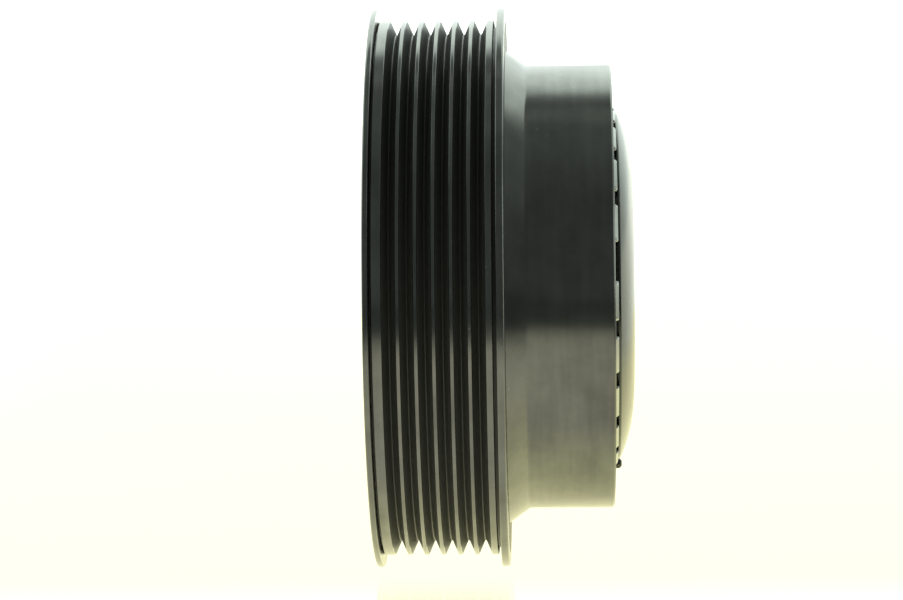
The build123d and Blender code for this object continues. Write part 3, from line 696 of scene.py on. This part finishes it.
def rotorDrum(look):
    lining = look["pole"] - look["liningDepth"]
    rim, wall, cut = look["rim"], look["wall"], look["rimCut"]
    outline = [
        (look["sleeveBack"], look["sleeveInner"], 0.3), (look["grooveBack"], look["sleeveInner"]),
        (look["grooveBack"], look["groove"]), (look["grooveFront"], look["groove"]),
        (look["grooveFront"], look["sleeveInner"]), (look["lipBack"], look["sleeveInner"]),
        (look["lipBack"], look["lip"]), (look["lipFront"], look["lip"], 0.3),
        (look["lipFront"], look["sleeveInner"], 0.8), (look["pole"], look["sleeveInner"], 0.3),
        (look["pole"], look["liningInner"]), (lining, look["liningInner"]), (lining, look["liningOuter"]),
        (look["pole"], look["liningOuter"]), (look["pole"], look["shroud"], 0.2), (rim, look["shroud"], 0.2),
        (rim, wall - cut, 0.08), (rim - cut, wall, 0.08), (look["coneFront"], wall, 0.35),
        (look["bandFront"], look["shoulder"], 0.08), (look["bandFront"], look["seat"]),
        (look["back"], look["seat"], 0.2), (look["back"], look["inner"], 0.2),
        (look["poleBack"], look["inner"], 0.6), (look["poleBack"], look["sleeveOuter"], 0.6),
        (look["sleeveBack"], look["sleeveOuter"], 0.3),
    ]
    body = spunBody(outline)
    through = (look["poleBack"] - 1, look["pole"] + 1)
    return carve(body, [
        arcSlots(*through, *look["innerSlot"], look["sweep"], evenly(6)),
        arcSlots(*through, *look["outerSlot"], look["sweep"], evenly(6, 30)),
    ])


def liningRing(look):
    back, front = look["pole"] - look["liningDepth"], look["pole"]
    inner, outer = look["liningInner"], look["liningOuter"]
    return spunBody([(back, inner), (front, inner, 0.1), (front, outer, 0.1), (back, outer)], 192)


fit("rotorDrum", rotorDrum(drum), "rotor_drum")
fit("frictionLining", liningRing(drum), "friction_lining")
print("rotor made")


# the double-row bearing

bearing = {
    "back": -1.5, "front": 18.5, "bore": 17.5, "outer": 27.5, "innerShoulder": 20.4, "outerShoulder": 24.6,
    "rows": (3.8, 13.2), "ballCircle": 22.5, "groove": 3.25, "ball": 3.175, "balls": 18, "arcSteps": 14,
    "sealSeat": 25.3, "sealDepth": 1.2, "sealInset": 0.2, "sealThickness": 1.0, "sealLip": 20.55,
    "sealLand": (24.3, 21.8), "sealGroove": (24.0, 22.2), "sealGrooveDepth": 0.35, "sealNeck": 21.2,
    "sealLipFaces": (0.45, 0.7),
}


# points of the ball groove's arc, from one shoulder to the other; side is -1 for the inner ring
def raceArc(look, row, shoulder, side):
    rise = abs(shoulder - look["ballCircle"])
    half, size, circle = math.acos(rise / look["groove"]), look["groove"], look["ballCircle"]
    turns = [-half + 2 * half * i / look["arcSteps"] for i in range(look["arcSteps"] + 1)]
    return [(row + size * math.sin(t), circle + side * size * math.cos(t)) for t in turns]


def outerRing(look):
    back, front, seat, depth = look["back"], look["front"], look["sealSeat"], look["sealDepth"]
    shoulder = look["outerShoulder"]
    outline = [(back, seat, 0.1), (back + depth, seat), (back + depth, shoulder, 0.1)]
    for row in look["rows"]:
        outline += raceArc(look, row, shoulder, 1)
    outline += [(front - depth, shoulder, 0.1), (front - depth, seat), (front, seat, 0.1)]
    outline += [(front, look["outer"], 0.8), (back, look["outer"], 0.8)]
    return spunBody(outline, 192)


def innerRing(look):
    back, front, shoulder = look["back"], look["front"], look["innerShoulder"]
    outline = [(back, look["bore"], 0.8), (back, shoulder, 0.1)]
    for row in look["rows"]:
        outline += raceArc(look, row, shoulder, -1)
    outline += [(front, shoulder, 0.1), (front, look["bore"], 0.8)]
    return spunBody(outline, 192)


def bearingBalls(look):
    bm = bmesh.new()
    for row, x in enumerate(look["rows"]):
        for angle in evenly(look["balls"], row * 180 / look["balls"]):
            place = Matrix.Translation(atAngle(look["ballCircle"], angle) + Vector((x, 0, 0)))
            bmesh.ops.create_icosphere(bm, subdivisions=3, radius=look["ball"], matrix=place)
    return bm


# a lip seal: a shallow groove in its face and a thin lip at its bore
def bearingSeal(look, outside):
    inset = look["sealInset"]
    face = look["front"] - inset if outside > 0 else look["back"] + inset
    hidden = face - outside * look["sealThickness"]
    groove = face - outside * look["sealGrooveDepth"]
    (landOuter, landInner), (grooveOuter, grooveInner) = look["sealLand"], look["sealGroove"]
    lip = [(face - outside * depth, look["sealLip"], 0.05) for depth in look["sealLipFaces"]]
    outline = [
        (hidden, look["sealSeat"]), (face, look["sealSeat"], 0.15), (face, landOuter, 0.1),
        (groove, grooveOuter, 0.1), (groove, grooveInner, 0.1), (face, landInner, 0.1),
        (face, look["sealNeck"], 0.1), *lip, (hidden, look["sealNeck"]),
    ]
    return spunBody(outline, 192)


fit("bearingOuterRing", outerRing(bearing), "bearing_outer_ring")
fit("bearingInnerRing", innerRing(bearing), "bearing_inner_ring")
fit("bearingBalls", bearingBalls(bearing), "bearing_balls", even=False)
fit("bearingCage", copyOf("bearing_cage"), "bearing_cage")
fit("bearingSealFront", bearingSeal(bearing, 1), "bearing_seal_front")
fit("bearingSealRear", bearingSeal(bearing, -1), "bearing_seal_rear")
snapRings = {
    "bearingCirclip": "bearing_circlip", "coilSnapRing": "coil_snap_ring", "noseSnapRing": "nose_snap_ring",
}
for name, node in snapRings.items():
    fit(name, softenEdges(copyOf(node), 0.06), node)
print("bearing made")


# the coil and what is fixed with it

nearAxis = 0.001  # a solid spun shape ends this close to its axis
coil = {
    "plateBack": -7.0, "plateFront": -5.0, "plate": 44.0, "pilot": 22.5, "seat": 31.0, "seatBack": -8.0,
    "rivetCircle": 37.4, "rivet": 1.6, "pinCircle": 38.0, "shank": 1.8, "stem": 2.55, "stemCircle": 38.5,
    "housingFront": 23.9, "housingInner": 32.2, "housingOuter": 42.6, "wall": 2.0,
    "bobbinGap": 0.1, "bobbinWall": 0.8, "bobbinFront": 20.0, "bobbinFlange": 40.3,
    "wirePitch": 0.72, "wireTop": 39.9, "wireGap": 0.05, "wireValley": 0.3, "wireCrown": (0.22, 0.78),
}
plateRivet = {
    "head": [(-7.95, nearAxis), (-7.95, 1.4, 0.1), (-7.7, 2.3, 0.3), (-7.3, 2.9, 0.3), (-7.0, 3.0)],
    "shank": [(-7.0, coil["rivet"]), (-3.0, coil["rivet"]), (-3.0, nearAxis)],
    "angles": evenly(4, 45),
}
pin = {
    "head": [(-10.0, nearAxis), (-10.0, 1.55, 0.1), (-9.55, 2.0, 0.2), (-7.0, 2.0)],
    "shank": [(-7.0, coil["shank"]), (-5.0, coil["shank"], 0.1), (-5.0, nearAxis)],
    "angles": [0],
}
stemAngles = [270]


def mountingPlate(look):
    outline = [
        (look["seatBack"], look["pilot"], 0.2), (look["plateFront"], look["pilot"], 0.2),
        (look["plateFront"], look["plate"], 0.3), (look["plateBack"], look["plate"], 0.3),
        (look["plateBack"], look["seat"], 0.2), (look["seatBack"], look["seat"], 0.35),
    ]
    through = (look["seatBack"] - 1, look["plateFront"] + 1)
    return carve(spunBody(outline), [
        drills(*through, look["rivet"], look["rivetCircle"], plateRivet["angles"]),
        drills(*through, look["shank"], look["pinCircle"], pin["angles"]),
        drills(*through, look["stem"], look["stemCircle"], stemAngles),
    ])


def coilHousing(look):
    back, front, wall = look["plateFront"], look["housingFront"], look["wall"]
    inner, outer = look["housingInner"], look["housingOuter"]
    outline = [
        (back, inner, 0.7), (front, inner, 0.2), (front, inner + wall, 0.2), (back + wall, inner + wall, 0.3),
        (back + wall, outer - wall, 0.3), (front, outer - wall, 0.2), (front, outer, 0.2), (back, outer, 0.7),
    ]
    through = (back - 1, back + wall + 1)
    return carve(spunBody(outline), [
        drills(*through, look["rivet"], look["rivetCircle"], plateRivet["angles"]),
        drills(*through, look["stem"], look["stemCircle"], stemAngles),
    ])


def coilBobbin(look):
    gap, wall = look["bobbinGap"], look["bobbinWall"]
    back = look["plateFront"] + look["wall"] + gap
    inner = look["housingInner"] + look["wall"] + gap
    front, flange = look["bobbinFront"], look["bobbinFlange"]
    outline = [
        (back, inner), (front, inner), (front, flange, 0.2), (front - wall, flange, 0.2),
        (front - wall, inner + wall, 0.2), (back + wall, inner + wall, 0.2), (back + wall, flange, 0.2),
        (back, flange, 0.2),
    ]
    return spunBody(outline, 192)


# the outer layer of wire shows as turns side by side
def coilWinding(look):
    wall = look["bobbinWall"] + look["wireGap"]
    back = look["plateFront"] + look["wall"] + look["bobbinGap"] + wall
    front = look["bobbinFront"] - wall
    inner = look["housingInner"] + look["wall"] + look["bobbinGap"] + wall
    turns = round((front - back) / look["wirePitch"])
    pitch = (front - back) / turns
    valley = look["wireTop"] - look["wireValley"]
    outline = [(front, inner), (back, inner), (back, valley)]
    for i in range(turns):
        start = back + i * pitch
        outline += [(start + pitch * part, look["wireTop"], 0.12) for part in look["wireCrown"]]
        outline += [(start + pitch, valley)]
    return spunBody(outline, 160)


fit("mountingPlate", mountingPlate(coil), "mounting_plate")
fit("coilHousing", coilHousing(coil), "coil_housing")
fit("coilBobbin", coilBobbin(coil), "coil_bobbin")
fit("coilWinding", coilWinding(coil), "coil_winding")
fit("thermalFuse", copyOf("thermal_fuse"), "thermal_fuse")
fit("coilPotting", copyOf("coil_potting"), "coil_potting")
fit("plateRivets", studs(rivetOutline(plateRivet), coil["rivetCircle"], plateRivet["angles"]), "plate_rivets")
fit("antiRotationPin", studs(rivetOutline(pin), coil["pinCircle"], pin["angles"], 48), "anti_rotation_pin")
fit("terminalBlock", softenEdges(copyOf("terminal_block"), 0.12), "terminal_block")
fit("terminalBlades", softenEdges(copyOf("terminal_blades"), 0.14), "terminal_blades")
print("coil made")


# the hub

hub = {
    "back": 20.6, "front": 34.4, "radius": 8.0, "flange": 17.0, "flangeBack": 30.4, "flangeFront": 32.4,
    "bore": 6.0, "boreFront": 32.8, "studHole": 3.2, "keyWidth": 3.0, "keyDepth": 1.4, "tailCut": 0.6,
    "rivetCircle": 12.0, "rivet": 1.5, "rivetAngles": evenly(4, 45),
}


def hubBoss(look):
    back, boreFront, radius, cut = look["back"], look["boreFront"], look["radius"], look["tailCut"]
    outline = [
        (back, look["bore"], 0.3), (boreFront, look["bore"], 0.2), (boreFront, look["studHole"]),
        (look["front"], look["studHole"], 0.2), (look["front"], radius, 0.3), (look["flangeFront"], radius),
        (look["flangeFront"], look["flange"], 0.2), (look["flangeBack"], look["flange"], 0.2),
        (look["flangeBack"], radius, 1.2), (back + cut, radius, 0.1), (back, radius - cut, 0.1),
    ]
    keyway = bmesh.new()
    bmesh.ops.create_cube(keyway, size=1.0)
    size = (boreFront - back + 1, look["keyWidth"], 2 * look["keyDepth"])
    bmesh.ops.scale(keyway, vec=size, verts=keyway.verts[:])
    middle = ((boreFront + back - 1) / 2, 0, look["bore"])
    bmesh.ops.translate(keyway, vec=middle, verts=keyway.verts[:])
    through = (look["flangeBack"] - 1, look["flangeFront"] + 1)
    holes = drills(*through, look["rivet"], look["rivetCircle"], look["rivetAngles"])
    return carve(spunBody(outline, 160), [keyway, holes])


cover = {
    "thickness": 1.6, "top": 40.5, "edge": 37.0, "flat": 23.0, "shoulder": 32.0, "hem": 0.5,
    "floor": 34.0, "recess": 15.5, "hole": 8.0, "arcSteps": 22, "outerBend": 2.0, "innerBend": 0.4,
}


# points along one skin of the shoulder, from its flat top out to the hem
def shoulderArc(look, radius):
    centre = look["top"] - look["shoulder"]
    last = math.asin((look["edge"] - look["flat"]) / look["shoulder"])
    turns = [last * i / look["arcSteps"] for i in range(look["arcSteps"] + 1)]
    points = [(centre + radius * math.cos(t), look["flat"] + radius * math.sin(t)) for t in turns]
    return [*points[:-1], (*points[-1], look["hem"])]


def hubCover(look):
    wall, under = look["recess"] + look["thickness"], look["floor"] - look["thickness"]
    outer = shoulderArc(look, look["shoulder"])
    inner = shoulderArc(look, look["shoulder"] - look["thickness"])
    outline = [
        (look["top"], look["recess"], look["outerBend"]), (look["floor"], look["recess"], look["innerBend"]),
        (look["floor"], look["hole"], 0.2), (under, look["hole"], 0.2), (under, wall, look["outerBend"]),
        (look["top"] - look["thickness"], wall, look["innerBend"]), *inner, *reversed(outer),
    ]
    through = (under - 1, look["floor"] + 1)
    return carve(spunBody(outline), [drills(*through, hub["rivet"], hub["rivetCircle"], hub["rivetAngles"])])


damper = {"inner": 28.0, "outer": 34.9, "back": 35.02, "waist": 0.35, "steps": 10, "clearance": 0.01}


# the moulded ring under the cover's shoulder, its free sides slightly waisted
def rubberDamper(look):
    inside = cover["shoulder"] - cover["thickness"]
    centre = cover["top"] - cover["shoulder"] - look["clearance"]
    back, inner, outer, steps = look["back"], look["inner"], look["outer"], look["steps"]
    radii = [outer + (inner - outer) * i / steps for i in range(steps + 1)]
    skin = [(centre + math.sqrt(inside ** 2 - (r - cover["flat"]) ** 2), r) for r in radii]
    middle = (back + skin[-1][0]) / 2
    return spunBody([*skin, (middle, inner + look["waist"], 0.8), (back, inner, 0.1), (back, outer)], 192)


# a valley of the thread starts and ends at these parts of a turn, at its mouth and at its floor
nut = {
    "back": 35.0, "front": 40.0, "acrossFlats": 10.0, "minor": 2.5, "major": 3.0, "pitch": 1.0,
    "lead": 0.45, "cornerCut": 0.4, "margin": 0.1, "threadStart": 0.05, "valleyMouth": (0.06, 0.94),
    "valleyFloor": (0.45, 0.55),
}


# a hexagon trimmed by a cone at each end, with the thread's crests in its bore
def hubNut(look):
    flat, back, front, lead = look["acrossFlats"] / 2, look["back"], look["front"], look["lead"]
    corner = flat / math.cos(math.pi / 6)
    hexagon = bmesh.new()
    bmesh.ops.create_cone(  # two of its corners lie along Y
        hexagon, cap_ends=True, segments=6, radius1=corner, radius2=corner, depth=front - back,
        matrix=alongX(((back + front) / 2, 0, 0)),
    )
    cut, margin, minor, major = look["cornerCut"], look["margin"], look["minor"], look["major"]
    outline = [
        (front - lead, minor), (front, minor + lead), (front, flat - margin), (front - cut, corner + margin),
        (back + cut, corner + margin), (back, flat - margin), (back, minor + lead), (back + lead, minor),
    ]
    (mouthStart, mouthEnd), (floorStart, floorEnd) = look["valleyMouth"], look["valleyFloor"]
    for i in range(int((front - back - 2 * lead) / look["pitch"])):
        start = back + lead + (i + look["threadStart"]) * look["pitch"]
        outline += [(start + mouthStart, minor), (start + floorStart, major)]
        outline += [(start + floorEnd, major), (start + mouthEnd, minor)]
    return softenEdges(carve(hexagon, [spunBody(outline, 96)], "INTERSECT"), 0.07, 45)


washer = {"back": 34.4, "front": 35.0, "bore": 3.2, "outer": 7.0}
coverRivet = {
    "head": [(34.98, nearAxis), (34.98, 1.0, 0.2), (34.7, 2.1, 0.3), (34.2, 2.6, 0.2), (34.0, 2.6)],
    "shank": [(34.0, hub["rivet"]), (30.4, hub["rivet"])],
    "tail": [(30.4, 2.6, 0.1), (29.7, 2.5, 0.2), (29.6, nearAxis)],
}
shims = {"backs": (19.6, 20.1), "thickness": 0.5, "clearance": 0.005, "bore": 6.0, "outer": 8.5}


def hubWasher(look):
    back, front, bore, outer = look["back"], look["front"], look["bore"], look["outer"]
    return spunBody([(back, bore, 0.08), (front, bore, 0.08), (front, outer, 0.15), (back, outer, 0.08)], 96)


def airGapShims(look):
    bm = bmesh.new()
    for face in look["backs"]:
        back, front = face + look["clearance"], face + look["thickness"] - look["clearance"]
        bore, outer = look["bore"], look["outer"]
        addTo(bm, spunBody([(back, bore), (front, bore), (front, outer, 0.06), (back, outer, 0.06)], 96))
    return bm


fit("hubBoss", hubBoss(hub), "hub_boss")
fit("hubCover", hubCover(cover), "hub_cover")
fit("rubberDamper", rubberDamper(damper), "rubber_damper")
fit("hubNut", hubNut(nut), "hub_nut", smoothBelow=25)
fit("hubWasher", hubWasher(washer), "hub_washer")
fit("hubRivets", studs(rivetOutline(coverRivet), hub["rivetCircle"], hub["rivetAngles"]), "hub_rivets")
fit("airGapShims", airGapShims(shims), "air_gap_shims")
print("hub made")


# the carrier, its lip of lugs and its springs

carrier = {
    "back": 34.0, "front": 35.0, "inner": 21.0, "outer": 40.0, "lipInner": 37.3, "lipOuter": 38.2,
    "lipTop": 36.0, "lugTop": 36.95, "lugSink": 0.4, "lugBend": 0.6, "lugRound": 0.5, "lugRim": 0.1,
    "lugSweep": 12.5, "lugPitch": 17.28, "lugs": 10, "sectors": 2, "wideGap": 165.5,
    "pin": 1.1, "pinCircle": 38.6, "pinAngles": [272.8], "rivet": 1.4, "rivetCircle": 25.0,
}
springs = {
    "count": 3, "first": 53.0, "span": 50.0, "outerCircle": 42.2, "innerCircle": 25.0, "back": 33.5,
    "front": 34.0, "halfWidth": 2.7, "cuts": 14, "clamp": 1.2,
}
outerRivets = evenly(springs["count"], springs["first"])
innerRivets = evenly(springs["count"], springs["first"] + springs["span"])
balancePin = [
    (34.0, nearAxis), (34.0, carrier["pin"], 0.1), (37.5, carrier["pin"], 0.15), (37.99, 0.62, 0.12),
    (37.99, nearAxis),
]
carrierRivet = {
    "head": [(35.8, nearAxis), (35.8, 1.2, 0.2), (35.5, 2.1, 0.3), (35.1, 2.4, 0.1), (35.0, 2.4)],
    "shank": [(35.0, carrier["rivet"]), (33.5, carrier["rivet"])],
    "tail": [(33.5, 2.4, 0.1), (33.0, 2.4, 0.2), (32.9, nearAxis)],
}


# one rounded tongue of the lip, as a short stretch of ring
def lug(look, angle):
    bm = bmesh.new()
    low, high, bend = look["lipTop"] - look["lugSink"], look["lugTop"], look["lugBend"]
    inner, outer = look["lipInner"], look["lipOuter"]
    corners = [(low, inner), (high, inner), (high, outer - bend), (high - bend, outer), (low, outer)]
    face = bm.faces.new([bm.verts.new((x, r, 0)) for x, r in corners])
    sweep = look["lugSweep"]
    bmesh.ops.spin(
        bm, geom=[face], cent=(0, 0, 0), axis=(1, 0, 0), dvec=(0, 0, 0), angle=math.radians(sweep), steps=8,
        use_merge=False, use_normal_flip=False, use_duplicate=False,
    )
    bmesh.ops.recalc_face_normals(bm, faces=bm.faces[:])

    def isTopEnd(edge):
        first, second = (angleOf(v) for v in edge.verts)
        same = abs(first - second) < 0.01 and min(abs(first), abs(first - sweep)) < 0.01
        return same and min(v.co.x for v in edge.verts) > high - bend - 1e-4

    bmesh.ops.bevel(
        bm, geom=[e for e in bm.edges if isTopEnd(e)], offset=look["lugRound"], offset_type="OFFSET",
        segments=6, profile=0.5, affect="EDGES", material=-1,
    )
    sharp = [e for e in bm.edges if e.calc_face_angle(0) > math.radians(35)]
    rims = [e for e in sharp if max(v.co.x for v in e.verts) > low + 0.05]  # not the hidden foot
    bmesh.ops.bevel(
        bm, geom=rims, offset=look["lugRim"], offset_type="OFFSET", segments=2, profile=0.5,
        affect="EDGES", material=-1, clamp_overlap=True,
    )
    turnBy(bm, angle - sweep / 2)
    return bm


def carrierRing(look):
    back, front, lipTop = look["back"], look["front"], look["lipTop"]
    outline = [
        (back, look["inner"], 0.15), (front, look["inner"], 0.15), (front, look["lipInner"], 0.3),
        (lipTop, look["lipInner"], 0.12), (lipTop, look["lipOuter"], 0.12), (front, look["lipOuter"], 0.2),
        (front, look["outer"], 0.15), (back, look["outer"], 0.15),
    ]
    bm = carve(spunBody(outline), [
        drills(back - 1, look["lugTop"] + 1, look["pin"], look["pinCircle"], look["pinAngles"]),
        drills(back - 1, front + 1, look["rivet"], look["rivetCircle"], innerRivets),
    ])
    for sector in range(look["sectors"]):
        middle = look["wideGap"] + (sector + 0.5) * 360 / look["sectors"]
        for i in range(look["lugs"]):
            addTo(bm, lug(look, middle + (i - (look["lugs"] - 1) / 2) * look["lugPitch"]))
    return bm


# a strap with round ends, cut across so that it can bend
def leafSpring(look, index):
    start = atAngle(look["outerCircle"], outerRivets[index])
    end = atAngle(look["innerCircle"], innerRivets[index])
    length = (end - start).length
    bm = bmesh.new()
    made = bmesh.ops.create_circle(bm, cap_ends=True, segments=48, radius=look["halfWidth"])
    bmesh.ops.translate(bm, verts=[v for v in made["verts"] if v.co.x > 1e-4], vec=(length, 0, 0))
    for i in range(1, look["cuts"]):
        geometry, cutAt = bm.verts[:] + bm.edges[:] + bm.faces[:], (length * i / look["cuts"], 0, 0)
        bmesh.ops.bisect_plane(bm, geom=geometry, dist=1e-5, plane_co=cutAt, plane_no=(1, 0, 0))
    raised = bmesh.ops.extrude_face_region(bm, geom=bm.faces[:])
    upper = [v for v in raised["geom"] if isinstance(v, bmesh.types.BMVert)]
    bmesh.ops.translate(bm, verts=upper, vec=(0, 0, look["front"] - look["back"]))
    bmesh.ops.recalc_face_normals(bm, faces=bm.faces[:])
    along = (end - start).normalized()
    turn = Matrix((along, Vector((1, 0, 0)).cross(along), Vector((1, 0, 0)))).transposed()
    bmesh.ops.rotate(bm, verts=bm.verts[:], cent=(0, 0, 0), matrix=turn)
    bmesh.ops.translate(bm, verts=bm.verts[:], vec=start + Vector((look["back"], 0, 0)))
    through = (look["back"] - 1, look["front"] + 1)
    holes = drills(*through, carrier["rivet"], look["outerCircle"], [outerRivets[index]])
    addTo(holes, drills(*through, carrier["rivet"], look["innerCircle"], [innerRivets[index]]))
    strap = softenEdges(carve(bm, [holes]), 0.06)
    piece = makePiece(f"leafSpring{index + 1}", strap, f"leaf_spring_{index + 1}")
    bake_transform(piece)


fit("carrierRing", carrierRing(carrier), "carrier_ring")
fit("balancePin", studs(balancePin, carrier["pinCircle"], carrier["pinAngles"], 48), "balance_pin")
fit("carrierRivets", studs(rivetOutline(carrierRivet), springs["innerCircle"], innerRivets), "carrier_rivets")
for index in range(springs["count"]):
    leafSpring(springs, index)
print("carrier made")


# the armature

armature = {
    "back": 29.5, "front": 33.5, "inner": 28.0, "outer": 45.0, "slot": (37.8, 1.8), "sweep": 42,
    "slotAngles": evenly(6, 10), "tail": 2.4, "tailBack": 29.7, "tailFront": 30.5,
}
armatureRivet = {
    "head": [(34.9, nearAxis), (34.9, 0.9, 0.2), (34.65, 1.5, 0.2), (34.2, 1.9, 0.2), (34.0, 1.9)],
    "shank": [(34.0, carrier["rivet"]), (armature["tailFront"], carrier["rivet"])],
    "tail": [
        (armature["tailFront"], armature["tail"]), (armature["tailBack"], armature["tail"], 0.1),
        (armature["tailBack"], nearAxis),
    ],
}


def armaturePlate(look):
    back, front, inner, outer = look["back"], look["front"], look["inner"], look["outer"]
    outline = [(back, inner, 0.2), (front, inner, 0.3), (front, outer, 0.4), (back, outer, 0.2)]
    through = (back - 1, front + 1)
    circle = springs["outerCircle"]
    return carve(spunBody(outline), [
        arcSlots(*through, *look["slot"], look["sweep"], look["slotAngles"]),
        drills(*through, carrier["rivet"], circle, outerRivets),
        drills(back - 1, look["tailFront"], look["tail"], circle, outerRivets),
    ])


fit("armaturePlate", armaturePlate(armature), "armature_plate")
armatureRivets = studs(rivetOutline(armatureRivet), springs["outerCircle"], outerRivets)
fit("armatureRivets", armatureRivets, "armature_rivets")
print("armature made")


# the table, the studio and its light

studio = {
    "tableZ": -0.05925, "tableSize": (8, 8), "tableColour": colour(1.0, 0.985, 0.78),
    "tableShade": colour(0.985, 0.965, 0.76), "tableGlow": 0.81, "tableRoughness": 0.06, "tableClouds": 3.0,
    "darkTone": colour(0.15, 0.15, 0.15), "darkLight": colour(0.2, 0.2, 0.2), "darkSize": (8, 4.2),
    "darkPlace": (0, -1.9, 0.0004), "litRadius": (0.15, 0.325), "frontEdge": (-0.1, 0.1),
    "bounceColour": colour(1.0, 0.96, 0.55), "bounceShade": colour(1.0, 0.97, 0.6), "bounceGlow": 1.35,
    "bounceFrom": (-0.06, -0.012), "bounceSide": (0.12, 0.22), "bounceSize": (0.5, 0.5),
    "bouncePlace": (0, 0.17, 0.0002),
}
# a pair named ...Behind runs over the cosine of the angle from straight behind, seen along X; a pair
# named ...Side runs over the sideways part of the direction
room = {
    "backdrop": 1.85, "horizon": 1.5, "backdropBehind": (0.5, 0.68), "horizonBehind": (0.9, 0.995),
    "strip": 0.12, "stripStartBehind": (0.17, 0.23), "stripEndBehind": (0.32, 0.38),
    "spreadSide": (0.3, 1.0), "spreadLoss": 0.85, "front": 0.135, "overhead": 0.22,
    "overheadBehind": (-0.62, 0.05), "sideBehind": (-0.3, 0.3), "rightGlow": 0.9, "rightSide": (0.84, 0.97),
    "leftGlow": 1.1, "leftSide": (0.6, 0.9), "tint": (0.93, 1.04, 0.97),
}


# a flat card that belongs to the stage, lifted off the table's top by the last number of its place
def stageCard(name, material, size, place, look):
    bm = bmesh.new()
    bmesh.ops.create_grid(bm, x_segments=1, y_segments=1, size=0.5)
    bmesh.ops.scale(bm, verts=bm.verts[:], vec=(*size, 1))
    bmesh.ops.translate(bm, verts=bm.verts[:], vec=Vector(place) + Vector((0, 0, look["tableZ"])))
    card = bpy.data.objects.new(name, meshOf(bm, name))
    card.data.materials.append(material)
    scene.collection.objects.link(card)
    return card


def makeTable(look):
    material, shader, place = startMaterial("tableTop", {
        "Base Color": colour(0, 0, 0), "Roughness": look["tableRoughness"],
        "Emission Strength": look["tableGlow"],
    })
    glow = place.noise(look["tableClouds"]).mix(look["tableShade"], look["tableColour"])
    finishMaterial(shader, {"Emission Color": glow})
    stageCard("table", material, look["tableSize"], (0, 0, 0), look)


# only a round patch of the table is lit in front; beyond it the steel mirrors a dark room
def makeDarkFloor(look):
    material, shader, place = startMaterial("darkFloor", {"Roughness": 0.9, "Specular IOR Level": 0.1})
    x, y = place.split()[:2]
    away = (x * x + y * y) ** 0.5
    shade = place.noise(20).mix(look["darkTone"], look["darkLight"])
    edge = away.between(*look["litRadius"], smooth=True) * (0 - y).between(*look["frontEdge"], smooth=True)
    finishMaterial(shader, {"Base Color": shade, "Alpha": edge})
    card = stageCard("darkFloor", material, look["darkSize"], look["darkPlace"], look)
    card.visible_camera = False


# warm light thrown up from the table under the drum
def makeBounce(look):
    material, shader, place = startMaterial("bounceCard", {
        "Base Color": colour(0, 0, 0), "Specular IOR Level": 0.0, "Emission Strength": look["bounceGlow"],
    })
    x, y = place.split()[:2]
    glow = place.noise(6.0).mix(look["bounceColour"], look["bounceShade"])
    inside = 1 - x.maths("ABSOLUTE", x).between(*look["bounceSide"], smooth=True)
    alpha = y.between(*look["bounceFrom"], smooth=True) * inside
    finishMaterial(shader, {"Emission Color": glow, "Alpha": alpha})
    card = stageCard("bounceCard", material, look["bounceSize"], look["bouncePlace"], look)
    card.visible_camera = False


# white to the camera; to the object, a bright backdrop behind, lit sides and a dim room in front
def makeWorld(look):
    world = bpy.data.worlds.new("studio")
    world.use_nodes = True
    tree = world.node_tree
    tree.nodes.clear()
    background = tree.nodes.new("ShaderNodeBackground")
    tree.links.new(background.outputs[0], tree.nodes.new("ShaderNodeOutputWorld").inputs[0])
    direction = Wire(tree, tree.nodes.new("ShaderNodeTexCoord").outputs["Generated"])
    toCamera = Wire(tree, tree.nodes.new("ShaderNodeLightPath").outputs["Is Camera Ray"])
    dx, dy, dz = direction.split()
    behind = dy / (dy * dy + dz * dz + 0.000001) ** 0.5
    aside = dx.maths("ABSOLUTE", dx)
    backdrop = behind.between(*look["backdropBehind"], smooth=True)
    tall = behind.between(*look["horizonBehind"], smooth=True).fade(look["backdrop"], look["horizon"])
    stripEnd = 1 - behind.between(*look["stripEndBehind"], smooth=True)
    strip = behind.between(*look["stripStartBehind"], smooth=True) * stripEnd * look["strip"]
    spread = 1 - aside.between(*look["spreadSide"]) * look["spreadLoss"]
    dim = behind.between(*look["overheadBehind"]).fade(look["front"], look["overhead"])
    right = dx.between(*look["rightSide"], smooth=True) * look["rightGlow"]
    left = (0 - dx).between(*look["leftSide"], smooth=True) * look["leftGlow"]
    sides = (right + left) * behind.between(*look["sideBehind"], smooth=True)
    level = dim + (backdrop * (tall - look["overhead"]) + strip) * spread + sides
    tinted = level.node("ShaderNodeVectorMath", {0: look["tint"], "Scale": level}, {"operation": "SCALE"})
    tree.links.new(toCamera.mix(tinted, colour(1, 1, 1)).socket, background.inputs["Color"])
    scene.world = world


makeTable(studio)
makeDarkFloor(studio)
makeBounce(studio)
makeWorld(room)
print("studio made")
